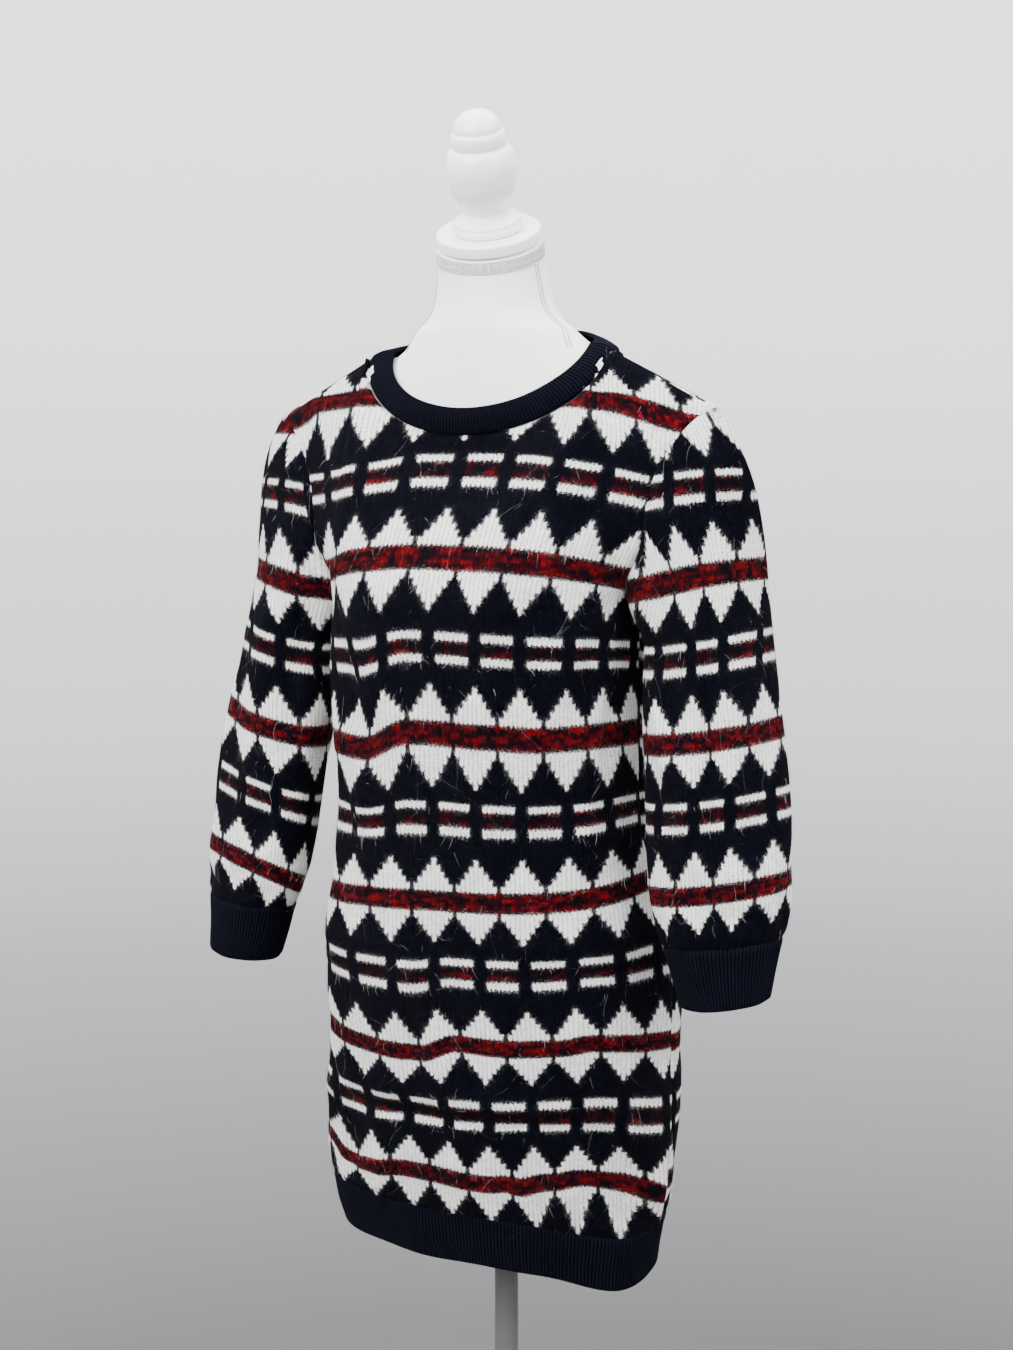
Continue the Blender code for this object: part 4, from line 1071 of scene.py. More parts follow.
def panel(back):
    us = COLS
    zs = np.linspace(RIB_Z, UNDERARM_Z, 150)
    skirt = skirt_point(us[None, :], zs[:, None], back)
    yoke = yoke_point(us[None, :], YOKE_SHARES[1:, None], back)
    grid = np.concatenate([skirt, yoke])
    level = np.concatenate([np.repeat(zs[:, None], len(us), 1), yoke[..., 2]])
    middle = len(us) // 2
    step = np.linalg.norm(np.diff(grid, axis=1), axis=-1)
    run = np.concatenate([np.zeros((grid.shape[0], 1)), np.cumsum(step, 1)], 1)
    run -= run[:, middle:middle + 1]
    # rows of the knitting
    share = np.broadcast_to(us[None, :], level.shape)
    if back:
        sag = 2.2 * np.sin(5.1 * share + 9 * level) + 1.6 * np.sin(11 * share - 17 * level)
        sag = sag - 16.0 * np.abs(share)**3 * ease((level - 1.05) / 0.1)
        sag = sag * ease((level - RIB_Z) / 0.03)
    else:
        lines = np.stack([through(SAG_AT, row[1:], share) for row in SAG], 0)
        heights = np.array([row[0] for row in SAG])[::-1]
        lines = lines[::-1]
        i = np.clip(np.searchsorted(heights, level) - 1, 0, len(heights) - 2)
        t = ease((level - heights[i]) / (heights[i + 1] - heights[i]))
        pick = np.take_along_axis(lines, i[None], 0)[0]
        above = np.take_along_axis(lines, i[None] + 1, 0)[0]
        sag = (1 - t) * pick + t * above
    r = curve([(z, row) for row, z in BODY_ROWS], 1, level - sag / 1000)
    # stitches across
    def wales(table, z, where):
        marks = np.stack([curve(table, j + 1, z) for j in range(len(WALE_S))], -1) / 1000
        flat, spots = marks.reshape(-1, len(WALE_S)), where.ravel()
        if back:
            flat = np.broadcast_to(np.array(WALE_S) * 0.0046 * 1.0, flat.shape)
        return np.array([np.interp(x, m, WALE_S) for x, m in zip(spots, flat)]).reshape(where.shape)

    s_arc = wales(WALES, level, run)
    s_yoke = wales(YOKE_WALES, level, grid[..., 0])
    k = ease((level - 1.135) / 0.065)
    s = (1 - k) * s_arc + k * s_yoke
    # folds, and the seams' grooves
    away = vec(0.0, 0.0, 0.0) + grid * np.array([0.0, 0.0, 1.0]) + np.array([0.0, -0.018, 0.0])
    n = normals_of(grid, False, away)
    left, right, bottom, top = edge_runs(grid)
    lift = fold_field(run, grid[..., 2], 1.0, BACK_FOLDS if back else FRONT_FOLDS)
    lift += uneven(run, grid[..., 2], 0.0011, 7 if back else 3)
    calm = ease(np.minimum(np.minimum(left, right), np.minimum(top, bottom)) / 0.014)
    lift = lift * (0.12 + 0.88 * calm)
    hold = 1 - 0.62 * ease((grid[..., 2] - 1.10) / 0.10)
    lift = np.where(grid[..., 2] > 1.10, np.clip(lift * hold, -0.0016, 0.01), lift)
    lift += groove(np.minimum(left, right)) + groove(top) + groove(bottom, 0.0008)
    grid = grid + n * lift[..., None]
    n = normals_of(grid, False, away)
    return tucked(grid, n, s, r, True)


for back in (False, True):
    name = "back" if back else "front"
    grid, n, s, r = panel(back)
    obj = shell(name + "_knit", grid, n, CLOTH, False, s, r, knit)
    finish_piece(obj, [name + "_panel"])
    hairs = naps(name + "_nap", grid, n, False, s, r, 26000, 5 if back else 4, nap)
    finish_piece(hairs)
    hairs = naps(name + "_hairs", grid, n, False, s, r, 1500, 15 if back else 14, nap, 0.024, 0.000019, 5, 0.08)
    finish_piece(hairs)


# ---------------------------------------------------------------- sleeves
def sleeve(side):
    points, psis = armhole(YOKE_SHARES)
    rows = []
    for i in range(25):
        rows.append(cap_points(points, psis, i / 24, side))
    first = SLEEVE[0][0]
    for i in range(1, 61):
        rows.append(sleeve_point(psis, first + (CUFF_SEAM_Z - first) * i / 60, side))
    grid = np.array(rows)
    # psi from -pi to pi, broken at the underarm
    seam_at = pi if side > 0 else 3.88
    turned = np.where(psis > seam_at, psis - 2 * pi, psis)
    start = int(np.argmin(turned))
    grid = np.roll(grid, -start, axis=1)
    turned = np.roll(turned, -start)
    wide = np.append(turned, turned[0] + 2 * pi)
    z = grid[..., 2]
    z_wide = np.concatenate([z, z[:, :1]], 1)
    leans = LEFT_LEAN if side > 0 else RIGHT_LEAN
    with_cos, with_sin, level = (curve(leans, i, z_wide) for i in (1, 2, 3))
    lean = with_cos * np.cos(wide)[None, :] + with_sin * np.sin(wide)[None, :] + level
    r = curve([(h, row) for row, h in SLEEVE_ROWS], 1, z_wide - lean)
    r = np.clip(r, 17.3 if side > 0 else 0.0, 174.6)
    table = LEFT_WALES if side > 0 else RIGHT_WALES
    marks = np.stack([curve(table, i + 1, z_wide) for i in range(len(SLEEVE_S))], -1)
    around = np.broadcast_to(wide[None, :], z_wide.shape)
    s = np.array([np.interp(x, m, SLEEVE_S) for x, m in zip(around.ravel(), marks.reshape(-1, len(SLEEVE_S)))])
    s = s.reshape(z_wide.shape)
    axis = grid.mean(1, keepdims=True)
    n = normals_of(grid, True, axis)
    run = np.linalg.norm(np.diff(grid, axis=0), axis=-1)
    top = np.concatenate([np.zeros((1, grid.shape[1])), np.cumsum(run, 0)], 0)
    bottom = top[-1:] - top
    lift = fold_field(turned[None, :], z, 0.052, LEFT_FOLDS if side > 0 else RIGHT_FOLDS)
    lift += uneven(turned[None, :] * 0.052, z, 0.0010, 11 if side > 0 else 12)
    # small gathers where the cuff holds the sleeve in
    gather = np.sin(turned * 9 + 1.3 * np.sin(turned * 2)) * 0.0011 * np.exp(-((bottom - 0.012) / 0.016)**2)
    lift = lift * (0.1 + 0.9 * ease(np.minimum(top, bottom) / 0.016)) + gather
    lift += groove(top, 0.0008) + groove(bottom, 0.0010)
    grid = grid + n * lift[..., None]
    n = normals_of(grid, True, axis)
    return tucked(grid, n, s, r)


for side, name in ((1, "left"), (-1, "right")):
    grid, n, s, r = sleeve(side)
    obj = shell("sleeve_" + name + "_knit", grid, n, CLOTH, True, s, r, knit)
    finish_piece(obj, ["sleeve_" + name])
    hairs = naps("sleeve_" + name + "_nap", grid, n, True, s, r, 12500, 20 + side, nap)
    finish_piece(hairs)
    hairs = naps("sleeve_" + name + "_hairs", grid, n, True, s, r, 750, 30 + side, nap, 0.022, 0.000019, 5, 0.08)
    finish_piece(hairs)


# ---------------------------------------------------------------- ribbed bands
def rib_lift(phase, size):
    return size * (np.sqrt(np.abs(np.sin(pi * phase))) - 0.62)


def even_columns(ring, per):
    """Shares round a closed ring of points at which a whole number of ribs have six points each."""
    step = np.linalg.norm(np.roll(ring, -1, axis=0) - ring, axis=1)
    run = np.concatenate([[0.0], np.cumsum(step)])
    ribs = int(round(run[-1] / RIB_PITCH))
    wanted = np.arange(ribs * per) / (ribs * per) * run[-1]
    return np.interp(wanted, run, np.arange(len(run))), ribs


def band(name, make, base_rows, ring_count, away_from, size, seed, node, material=rib, per=6, wander=0.0008):
    """make(share round, share along) gives the band's outer face; its last row is the free edge."""
    coarse = make(np.arange(ring_count) / ring_count, 0.0)
    marks, ribs = even_columns(coarse, per)
    around = marks / ring_count
    along = np.linspace(0, 1, base_rows)
    grid = make(around[None, :], along[:, None])
    phase = np.arange(ribs * per + 1) / per
    lean = 0.30 * np.sin(np.arange(ribs * per) / (ribs * per) * 2 * pi * 3 + seed)
    n = normals_of(grid, True, away_from(grid))
    distance = np.concatenate([np.zeros((1, grid.shape[1])),
                               np.cumsum(np.linalg.norm(np.diff(grid, axis=0), axis=-1), 0)], 0)
    lift = rib_lift(phase[None, :-1] + 0.0 * lean, size) * (0.55 + 0.45 * ease(distance / 0.006))
    lift += groove(distance, 0.0007, 0.0016)
    turn = np.arange(ribs * per) / (ribs * per) * 2 * pi
    lift += wander * (np.sin(5 * turn + seed) + np.sin(9 * turn + 2.1 * seed) * 0.6)[None, :] * ease(distance / 0.012)
    grid = grid + n * lift[..., None]
    s = np.broadcast_to(phase[None, :], (base_rows, ribs * per + 1))
    r = np.concatenate([distance, distance[:, :1]], 1) / 0.0027
    obj = shell(name, grid, n, RIB, True, s, r, material, tip_rows=5)
    finish_piece(obj, [node])
    return grid, n, s, r


def halves(share, make):
    """A ring made of the front from -u to +u and then the back from +u to -u."""
    share = np.mod(share, 1.0)
    front = share < 0.5
    u_front, u_back = -1 + 4 * share, 1 - 4 * (share - 0.5)
    a, b = make(np.clip(u_front, -1, 1), False), make(np.clip(u_back, -1, 1), True)
    return np.where(front[..., None], a, b)


def hem_make(share, along):
    share, along = np.broadcast_arrays(share, along)
    z = RIB_Z + (HEM_Z - RIB_Z) * along
    return halves(share, lambda u, back: skirt_point(u, z, back))


def neck_make(share, along):
    share, along = np.broadcast_arrays(share, along)
    return halves(share, lambda u, back: band_point(u * NECK_U, along, back))


def cuff_make(side):
    def make(share, along):
        share, along = np.broadcast_arrays(share, along)
        z = CUFF_SEAM_Z + (SLEEVE[-1][0] - CUFF_SEAM_Z) * along
        return sleeve_point(share * 2 * pi, z, side)
    return make


def from_axis(grid):
    return grid * np.array([0.0, 0.0, 1.0])


def from_ring(grid):
    """For the neckband, a ring below and outside nothing: the middle of its hollow."""
    return np.broadcast_to(np.array([0.0, -0.03, 1.20]), grid.shape)


def own_middle(grid):
    return grid.mean(1, keepdims=True)


hem_grid = band("hem_band", hem_make, 13, 480, from_axis, 0.00095, 1.0, "hem_rib", wander=0.0012)
neck_grid = band("neck_band", neck_make, 11, 360, from_ring, 0.00085, 2.0, "neckband", wander=0.0003)
cuff_left = band("cuff_left_band", cuff_make(1), 14, 160, own_middle, 0.00085, 3.0, "cuff_left", wander=0.0005)
cuff_right = band("cuff_right_band", cuff_make(-1), 14, 160, own_middle, 0.00085, 4.0, "cuff_right", wander=0.0005)


# ---------------------------------------------------------------- the form
def cap_frame():
    axis = unit(np.array(CAP_AXIS))
    side = unit(np.cross(np.array([0.0, 1.0, 0.0]), axis))
    return side, np.cross(axis, side), axis


def neck_ring(t, count, grow=0.0):
    """A ring of the neck: t runs from 0 at its lowest section to 1 at the cap's underside."""
    side, fore, axis = cap_frame()
    top = np.array(CAP_TOP) - axis * (CAP_H + 0.0003 + 0.0015)
    rows = NECK + [(top[2], top[1], CAP_R, CAP_R, 1.0)]
    at = t * (len(rows) - 1)
    z, y, wide, deep, tip = (through(range(len(rows)), [row[i] for row in rows], at) for i in range(5))
    x = through(range(len(rows)), [0.0] * (len(rows) - 1) + [top[0]], at)
    up = unit((1 - tip) * np.array([0.0, 0.0, 1.0]) + tip * axis)
    across = unit(np.cross(np.array([0.0, 1.0, 0.0]), up))
    ahead = np.cross(up, across)
    a = 2 * pi * np.arange(count) / count
    return (np.array([x, y, z]) + np.sin(a)[:, None] * (wide + grow) * across
            - np.cos(a)[:, None] * (deep + grow) * ahead)


def build_form():
    side_cols, neck_cols, low_rows, yoke_rows = 10, 36, 12, 26
    edge = [i / side_cols for i in range(side_cols + 1)]
    us = ([-1 + (1 - NECK_U) * e for e in edge]
          + [-NECK_U + 2 * NECK_U * i / neck_cols for i in range(1, neck_cols)]
          + [NECK_U + (1 - NECK_U) * e for e in edge])
    us = np.array(us)
    cols = len(us)
    cells = []
    for back in (False, True):
        rows = []
        for i in range(low_rows):
            z = FORM_BOTTOM_Z + (UNDERARM_Z - FORM_BOTTOM_Z) * i / (low_rows - 1)
            inset = CLOTH + FORM_GAP + curve(FORM_INSET, 2 if back else 1, z)
            side_inset = CLOTH + FORM_GAP + curve(FORM_INSET, 1, z) * 0.5 + curve(FORM_INSET, 2, z) * 0.5
            p = skirt_point(us, z, back)
            p[:, 2] = z
            half, front, rear = curve(BODY, 2, z), curve(BODY, 3, z), curve(BODY, 4, z)
            flat = vec(p[:, 0] / half**2, (p[:, 1] - (front + rear) / 2) / ((rear - front) / 2)**2, 0.0)
            a = np.abs(us)[:, None]
            rows.append(p - unit(flat) * ((1 - a) * inset + a * side_inset))
        for i in range(1, yoke_rows + 1):
            w = i / yoke_rows
            a, sign = np.abs(us), np.where(us >= 0, 1.0, -1.0)
            v = np.where(a > NECK_U, sign * (NECK_U + (a - NECK_U) * (1 - 0.28 * ease(w * 1.5))), us)
            h = 1e-3
            p = yoke_point(v, w, back)
            pu = yoke_point(v + np.where(v < 0, h, -h), w, back) - p
            pw = yoke_point(v, w - h, back) - p
            n = unit(np.cross(pu, pw))
            flip = np.sum(n * (p - np.array([0.0, -0.02, 1.12])), -1, keepdims=True) < 0
            n = np.where(flip, -n, n)
            air = CLOTH + FORM_GAP + 0.0060 * (1 - ease(w * 2.2))
            if i == yoke_rows:
                n = np.where((a <= NECK_U + 1e-9)[:, None], unit(n + np.array([0.0, 0.0, 0.25])), n)
                air += 0.0022
            rows.append(p - n * air)
        cells.append(np.array(rows))
    front, rear = cells
    top = len(front) - 1
    for c in range(cols):
        if abs(us[c]) >= NECK_U - 1e-9:
            front[top, c] = rear[top, c] = (front[top, c] + rear[top, c]) / 2
    for c in (0, cols - 1):
        for i in range(low_rows):
            front[i, c] = rear[i, c] = (front[i, c] + rear[i, c]) / 2
    points, index, faces = [], {}, []

    def put(p):
        key = tuple(np.round(p, 5))
        if key not in index:
            index[key] = len(points)
            points.append(tuple(float(x) for x in p))
        return index[key]

    def quad(*corners):
        ring = []
        for p in corners:
            i = put(p)
            if i not in ring:
                ring.append(i)
        if len(ring) > 2:
            faces.append(tuple(ring))

    for i in range(top):
        for c in range(cols - 1):
            quad(front[i, c], front[i, c + 1], front[i + 1, c + 1], front[i + 1, c])
            quad(rear[i, c + 1], rear[i, c], rear[i + 1, c], rear[i + 1, c + 1])
    ends = 8
    for c, out in ((0, -1), (cols - 1, 1)):
        strips = []
        for i in range(low_rows - 1, top + 1):
            a, b = front[i, c], rear[i, c]
            bulge = 0.016 * sin(pi * min(1.0, (i - low_rows + 1) / (top - low_rows + 1)))
            strips.append([a + (b - a) * j / ends + np.array([out * bulge * sin(pi * j / ends), 0, 0])
                           for j in range(ends + 1)])
        for i in range(len(strips) - 1):
            for j in range(ends):
                four = (strips[i][j], strips[i + 1][j], strips[i + 1][j + 1], strips[i][j + 1])
                quad(*(four if out < 0 else four[::-1]))
    inside = [c for c in range(cols) if abs(us[c]) <= NECK_U + 1e-9]
    ring_u = us[inside]
    rings = [np.concatenate([front[top, inside], rear[top, inside][-2:0:-1]])]
    count = len(rings[0])

    def under(u, back, r, inset):
        h = 1e-3
        p = band_point(u, r, back)
        pu = band_point(u + np.where(u < 0, h, -h), r, back) - p
        pr = band_point(u, r - h, back) - p
        n = unit(np.cross(pu, pr))
        flip = np.sum(n * (p - np.array([0.0, -0.03, 1.25])), -1, keepdims=True) < 0
        return p - np.where(flip, -n, n) * inset

    for r, inset in ((0.25, RIB + 0.0052), (0.50, RIB + 0.0052), (0.75, RIB + 0.0050), (1.00, RIB + 0.0048)):
        a, b = under(ring_u, False, r, inset), under(ring_u, True, r, inset)
        rings.append(np.concatenate([a, b[-2:0:-1]]))
    quarter = (len(inside) - 1) // 2
    last = rings[-1]
    first_neck = np.roll(neck_ring(0.0, count), quarter, axis=0)
    second_neck = np.roll(neck_ring(0.15, count), quarter, axis=0)
    # a smooth run from under the collar into the neck
    lead, turn = rings[-1] - rings[-2], second_neck - first_neck
    for i in range(1, 7):
        t = i / 7
        h0, h1 = 2 * t**3 - 3 * t**2 + 1, 3 * t**2 - 2 * t**3
        m0, m1 = t**3 - 2 * t**2 + t, t**3 - t**2
        rings.append(h0 * last + m0 * lead * 2.0 + h1 * first_neck + m1 * turn * 2.0)
    for i in range(0, 31):
        rings.append(np.roll(neck_ring(i / 30, count), quarter, axis=0))
    for a, b in zip(rings, rings[1:]):
        for i in range(count):
            j = (i + 1) % count
            quad(a[i], a[j], b[j], b[i])
    faces.append(tuple(put(p) for p in rings[-1]))
    low_ring = np.concatenate([front[0], rear[0][-2:0:-1]])
    faces.append(tuple(put(p) for p in low_ring[::-1]))
    return add_object("form_cover", points, faces, jersey)


finish_piece(build_form(), ["torso_form"])


def ribbon_tube(path, radius, sides, closed, name, material, place_ups=None):
    """A thin round thread along a path."""
    path = np.asarray(path, float)
    if closed:
        ahead = np.roll(path, -1, axis=0) - np.roll(path, 1, axis=0)
    else:
        ahead = np.gradient(path, axis=0)
    ahead = unit(ahead)
    ups = np.asarray(place_ups, float)
    across = unit(np.cross(ups, ahead))
    ups = np.cross(ahead, across)
    a = 2 * pi * np.arange(sides) / sides
    rings = path[:, None, :] + radius * (np.cos(a)[None, :, None] * across[:, None, :] + np.sin(a)[None, :, None] * ups[:, None, :])
    rows = len(path)
    faces = []
    for i in range(rows if closed else rows - 1):
        for j in range(sides):
            faces.append(((i * sides + j), (i * sides + (j + 1) % sides),
                          ((i + 1) % rows * sides + (j + 1) % sides), ((i + 1) % rows * sides + j)))
    if not closed:
        faces.append(tuple(range(sides))[::-1])
        faces.append(tuple((rows - 1) * sides + j for j in range(sides)))
    return rings.reshape(-1, 3), faces


def neck_strip():
    """The tape round the neck's top, where the cover is gathered and overlocked."""
    count = 180
    rows = []
    for t, grow in ((0.80, -0.0004), (0.806, 0.0004), (0.83, 0.0007), (0.90, 0.0008), (0.965, 0.0008), (0.990, 0.0006), (0.994, -0.0004)):
        rows.append(neck_ring(t, count, grow))
    grid = np.array(rows)
    wave = 0.00035 * np.sin(np.arange(count) * 2 * pi * 45 / count)
    n = normals_of(grid, True, grid.mean(1, keepdims=True))
    grid[1:-1] += n[1:-1] * wave[None, :, None]
    faces = []
    for i in range(len(rows) - 1):
        for c in range(count):
            d = (c + 1) % count
            faces.append((i * count + c, i * count + d, (i + 1) * count + d, (i + 1) * count + c))
    obj = add_object("neck_tape", grid.reshape(-1, 3), faces, strip)
    mod = obj.modifiers.new("thickness", "SOLIDIFY")
    mod.thickness = 0.0004
    mod.offset = -1
    finish_piece(obj)
    # overlock threads that zigzag over the tape
    points, all_faces = [], []
    for low, high, turns, phase in ((0.825, 0.900, 172, 0.0), (0.903, 0.978, 172, 0.5)):
        steps = turns * 4
        a = np.arange(steps) / steps * 2 * pi
        zig = np.abs(np.mod(np.arange(steps) / 4 + phase, 1.0) * 2 - 1)
        inner, outer = neck_ring(low, steps, 0.0012), neck_ring(high, steps, 0.0012)
        path = inner + (outer - inner) * zig[:, None]
        ups = unit(path - path.mean(0))
        ring, faces = ribbon_tube(path, 0.00028, 5, True, "", thread, ups)
        base = sum(len(p) for p in points)
        points.append(ring)
        all_faces += [tuple(base + i for i in f) for f in faces]
    for t in (0.820, 0.901, 0.982):
        steps = 220
        path = neck_ring(t, steps, 0.0011)
        path += unit(path - path.mean(0)) * (0.00025 * np.sin(np.arange(steps) * 2 * pi * 55 / steps))[:, None]
        ring, faces = ribbon_tube(path, 0.00036, 5, True, "", thread, unit(path - path.mean(0)))
        base = sum(len(p) for p in points)
        points.append(ring)
        all_faces += [tuple(base + i for i in f) for f in faces]
    obj = add_object("neck_overlock", np.concatenate(points), all_faces, thread)
    finish_piece(obj)


neck_strip()


def neck_seams():
    """Two stitched seams down the sides of the neck to the collar, each a pair of rows of small stitches."""
    points, all_faces = [], []
    count = 720
    mesh = bpy.data.objects["form_cover"].data
    cover = BVHTree.FromPolygons([tuple(v.co) for v in mesh.vertices], [tuple(f.vertices) for f in mesh.polygons])
    for angle, drift, x_low in ((86.0, -7.0, 0.104), (-70.0, 4.0, -0.104)):
        for beside in (-2.4, 2.4):
            line, ups = [], []
            for i in range(0, 46):
                t = 0.79 * (1 - i / 45)
                ring = neck_ring(t, count, 0.0003)
                turn = angle + beside / 0.055 / 1000 * 180 / pi + (1 - t) * drift
                j = turn / 360 * count
                a, b = int(np.floor(j)), j - np.floor(j)
                line.append(ring[a % count] * (1 - b) + ring[(a + 1) % count] * b)
                ups.append(unit(line[-1] - ring.mean(0)))
            first, last = line[-1], np.array([x_low, -0.058 + beside / 1000, 1.318])
            for i in range(1, 13):
                place, n, _, _ = cover.find_nearest(Vector(first + (last - first) * i / 21))
                n = np.array(n) * (1 if n.z > 0 else -1)
                line.append(np.array(place) + n * 0.0003)
                ups.append(n)
            line, ups = np.array(line), np.array(ups)
            run = np.concatenate([[0], np.cumsum(np.linalg.norm(np.diff(line, axis=0), axis=1))])
            at = 0.0
            while at + 0.0022 < run[-1]:
                t = np.linspace(at, at + 0.0022, 6)
                path = np.stack([np.interp(t, run, line[:, j]) for j in range(3)], 1)
                up = unit(np.stack([np.interp(t, run, ups[:, j]) for j in range(3)], 1))
                path += up * (0.00030 * np.sin(pi * np.linspace(0, 1, 6)))[:, None]
                ring, faces = ribbon_tube(path, 0.00042, 5, False, "", seam_thread, up)
                base = sum(len(p) for p in points)
                points.append(ring)
                all_faces += [tuple(base + i for i in f) for f in faces]
                at += 0.0031
    obj = add_object("neck_seam_stitches", np.concatenate(points), all_faces, seam_thread)
    finish_piece(obj)


neck_seams()


# ---------------------------------------------------------------- turned pieces
def lathe(name, profile, steps, material, node, place=(0, 0, 0), axis=(0, 0, 1)):
    """A turned solid from a list of (r, h) from its top to its underside."""
    up = unit(np.array(axis, float))
    side = unit(np.cross(np.array([0.0, 1.0, 0.0]), up))
    fore = np.cross(up, side)
    a = 2 * pi * np.arange(steps) / steps
    ring = np.cos(a)[:, None] * side + np.sin(a)[:, None] * fore
    points, rows = [], []
    for r, h in profile:
        middle = np.array(place, float) + up * h
        if r < 1e-6:
            rows.append([len(points)])
            points.append(middle)
        else:
            rows.append(list(range(len(points), len(points) + steps)))
            points.extend(middle + r * ring)
    faces = []
    for a_row, b_row in zip(rows, rows[1:]):
        for i in range(steps):
            j = (i + 1) % steps
            if len(a_row) == 1:
                faces.append((a_row[0], b_row[i], b_row[j]))
            elif len(b_row) == 1:
                faces.append((a_row[i], b_row[0], a_row[j]))
            else:
                faces.append((a_row[i], b_row[i], b_row[j], a_row[j]))
    obj = add_object(name, np.array(points), faces, material)
    return finish_piece(obj, [node])


def rounded(corners, radius, steps=5):
    """A profile of (r, h) with its inner corners rounded."""
    out = [corners[0]]
    for before, here, after in zip(corners, corners[1:], corners[2:]):
        p, a, b = np.array(here, float), np.array(before, float), np.array(after, float)
        size = min(radius, np.linalg.norm(a - p) * 0.45, np.linalg.norm(b - p) * 0.45)
        start, end = p + unit(a - p) * size, p + unit(b - p) * size
        for i in range(steps + 1):
            t = i / steps
            out.append(tuple((1 - t)**2 * start + 2 * t * (1 - t) * p + t * t * end))
    out.append(corners[-1])
    return out


heights = [row[0] for row in FINIAL]
radii = [row[1] for row in FINIAL]
fine = np.concatenate([np.linspace(heights[0], heights[-2], 150), heights[-2] + (heights[-1] - heights[-2]) * np.linspace(0.15, 1, 8)**0.5])
profile = [(float(through(heights, radii, h)), float(h)) for h in fine[::-1]]
profile[0] = (0.0, heights[-1])
lathe("finial_turned", profile + [(0.0, heights[0])], 96, wood, "finial", CAP_TOP, CAP_AXIS)
cap_axis = unit(np.array(CAP_AXIS))
lathe("neck_cap_turned",
      rounded([(0.0, CAP_H), (CAP_R, CAP_H), (CAP_R, 0.0005), (CAP_R - 0.0022, 0.0), (0.0, 0.0)], 0.0028),
      128, wood, "neck_cap", np.array(CAP_TOP) - cap_axis * CAP_H, CAP_AXIS)
lathe("pole_tube",
      rounded([(0.0, FORM_BOTTOM_Z - 0.0003), (POLE_R, FORM_BOTTOM_Z - 0.0003), (POLE_R, 0.060), (POLE_R, BASE_H + 0.0003), (0.0, BASE_H + 0.0003)], 0.0006),
      64, tube, "pole")
lathe("base_disc",
      rounded([(0.0, BASE_H), (0.030, BASE_H), (BASE_R, BASE_H), (BASE_R, 0.0), (0.0, 0.0)], 0.0060, 8),
      160, wood, "base")


# ---------------------------------------------------------------- stage, lights, camera
def stage_material():
    """A pale floor that runs up into a pale wall, with painted shade: darker near the floor's middle and lighter
    further out and up, standing in for the light's falloff.
    """
    material = bpy.data.materials.new("floor_and_wall_with_painted_falloff")
    material.use_nodes = True
    tree = material.node_tree
    k = Nodes(tree)
    shader = tree.nodes["Principled BSDF"]
    place = k.new("ShaderNodeTexCoord").outputs["Object"]
    split = k.new("ShaderNodeSeparateXYZ")
    k.put(split.inputs[0], place)
    x, y, z = split.outputs
    out = k.math("SQRT", k.math("ADD", k.math("MULTIPLY", x, x), k.math("MULTIPLY", y, y)))
    ramp = k.new("ShaderNodeValToRGB")
    stops = ramp.color_ramp.elements
    # painted shade and light falloff: dark round the middle, lighter outwards and upwards
    tones = ((0.0, 0.058), (0.135, 0.061), (0.28, 0.128), (0.50, 0.235), (0.62, 0.32), (0.80, 0.555), (0.88, 0.82), (1.0, 0.90))
    stops[0].position, stops[1].position = tones[0][0], tones[-1][0]
    stops[0].color = (tones[0][1],) * 3 + (1,)
    stops[1].color = (tones[-1][1],) * 3 + (1,)
    for at, tone in tones[1:-1]:
        stop = stops.new(at)
        stop.color = (tone, tone, tone, 1)
    k.put(ramp.inputs[0], k.spread(k.math("ADD", out, k.math("MULTIPLY", z, 0.8)), 0.0, 8.0))
    tree.links.new(ramp.outputs[0], shader.inputs["Base Color"])
    rough = k.noise(place, 40.0, 4.0, 0.55)
    bump = k.new("ShaderNodeBump")
    bump.inputs["Strength"].default_value = 0.12
    bump.inputs["Distance"].default_value = 0.003
    k.put(bump.inputs["Height"], rough.outputs[0])
    tree.links.new(bump.outputs[0], shader.inputs["Normal"])
    shader.inputs["Roughness"].default_value = 0.92
    return material


AZIMUTH = radians(27.0)
toward = np.array([sin(AZIMUTH), -cos(AZIMUTH), 0.0])
sideways = np.array([cos(AZIMUTH), sin(AZIMUTH), 0.0])


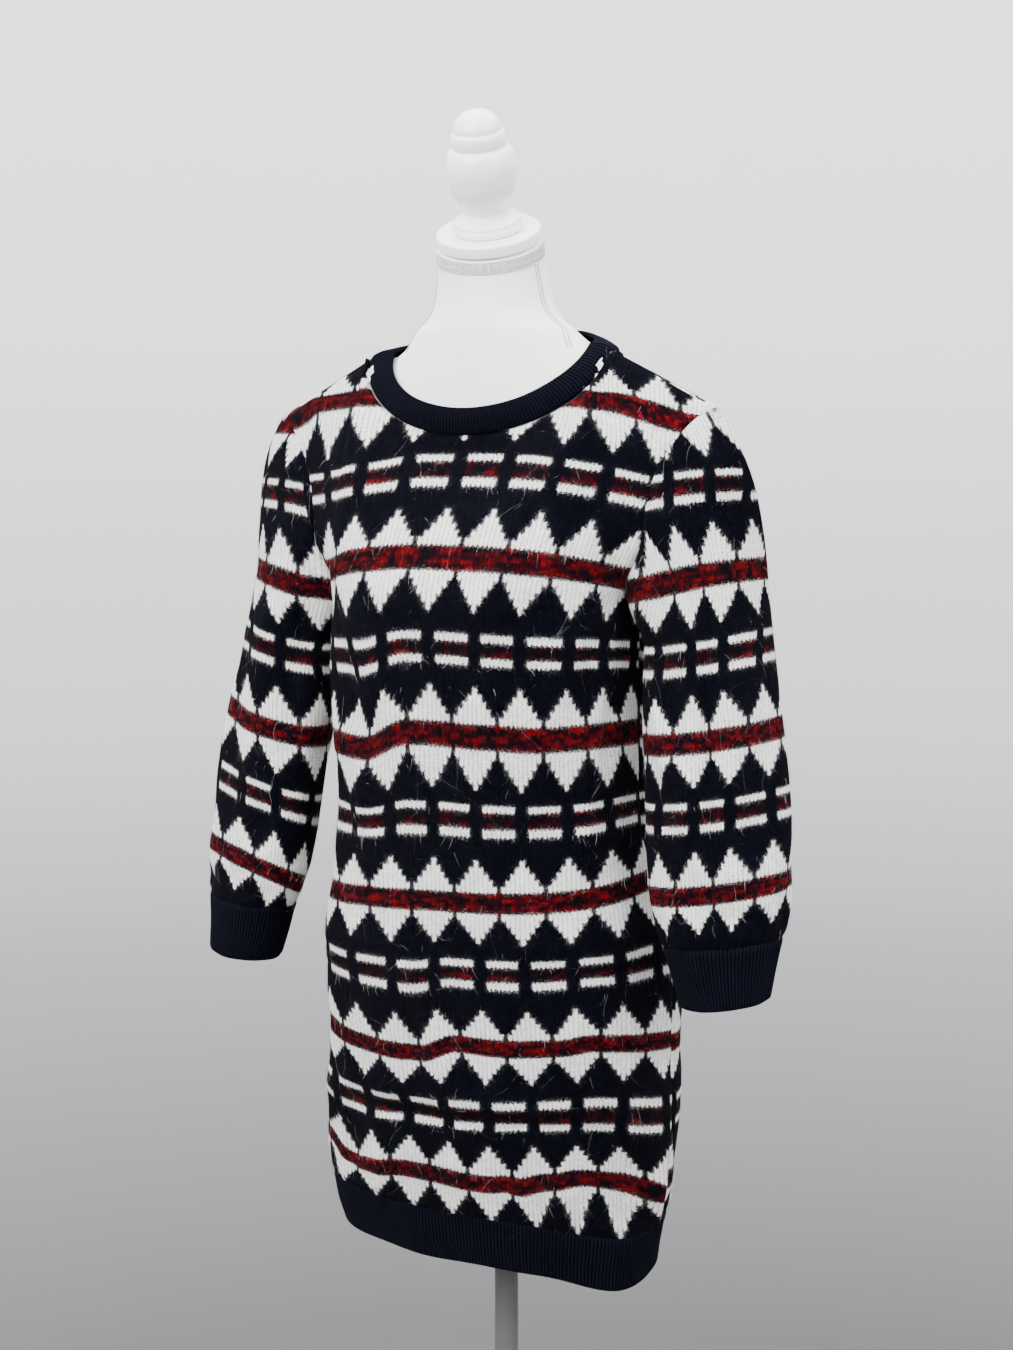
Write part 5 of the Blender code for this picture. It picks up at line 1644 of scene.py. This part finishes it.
def backdrop():
    """A round floor that sweeps up into a wall on every side, far outside every view's camera."""
    flat, bend, steps = 4.2, 1.5, 96
    profile = [(flat * (i / 8), 0.0) for i in range(1, 9)]
    profile += [(flat + bend * sin(pi / 2 * i / 12), bend - bend * cos(pi / 2 * i / 12)) for i in range(1, 13)]
    profile += [(flat + bend, bend + 1.6 * i) for i in range(1, 4)]
    turn = 2 * pi * np.arange(steps) / steps
    points = [(0.0, 0.0, 0.0)]
    for out, height in profile:
        points += [(float(out * np.cos(a)), float(out * np.sin(a)), float(height)) for a in turn]
    faces = [(0, 1 + i, 1 + (i + 1) % steps) for i in range(steps)]
    for row in range(len(profile) - 1):
        low, high = 1 + row * steps, 1 + (row + 1) * steps
        faces += [(low + i, high + i, high + (i + 1) % steps, low + (i + 1) % steps) for i in range(steps)]
    add_object("backdrop", np.array(points), faces, stage_material())


backdrop()


def area_light(name, where, aim, size, power, tint=(1.0, 1.0, 1.0)):
    data = bpy.data.lights.new(name, "AREA")
    data.shape = "RECTANGLE"
    data.size, data.size_y = size
    data.energy = power
    data.color = tint
    obj = bpy.data.objects.new(name, data)
    collection.objects.link(obj)
    obj.location = where
    ahead = unit(np.array(aim, float) - np.array(where, float))
    obj.visible_camera = False
    obj.rotation_euler = Vector(ahead.tolist()).to_track_quat("-Z", "Y").to_euler()


def placed(ahead, across, height):
    return (toward * ahead + sideways * across + np.array([0, 0, height])).tolist()


area_light("key", placed(1.9, -1.5, 2.5), (0, 0, 1.05), (1.5, 1.5), 156.0, (1.0, 0.997, 0.99))
area_light("fill", placed(1.7, 1.9, 1.7), (0, 0, 1.0), (1.6, 1.8), 46.0, (0.985, 0.99, 1.0))
area_light("top", placed(0.1, 0.2, 3.1), (0, 0, 0.9), (2.4, 2.0), 44.0)

world = bpy.data.worlds.new("soft_room")
bpy.context.scene.world = world
world.use_nodes = True
world.node_tree.nodes["Background"].inputs[0].default_value = (0.96, 0.97, 1.0, 1.0)
world.node_tree.nodes["Background"].inputs[1].default_value = 4.9

camera = bpy.data.objects.new("camera", bpy.data.cameras.new("camera"))
collection.objects.link(camera)
camera.data.sensor_width = 36.0
camera.data.lens = 58.13
camera.data.clip_start = 0.05
camera.data.clip_end = 60.0
camera.location = (0.908, -1.782, 1.19)
camera.rotation_euler = (radians(85.41), 0.0, radians(27.0))
bpy.context.scene.camera = camera
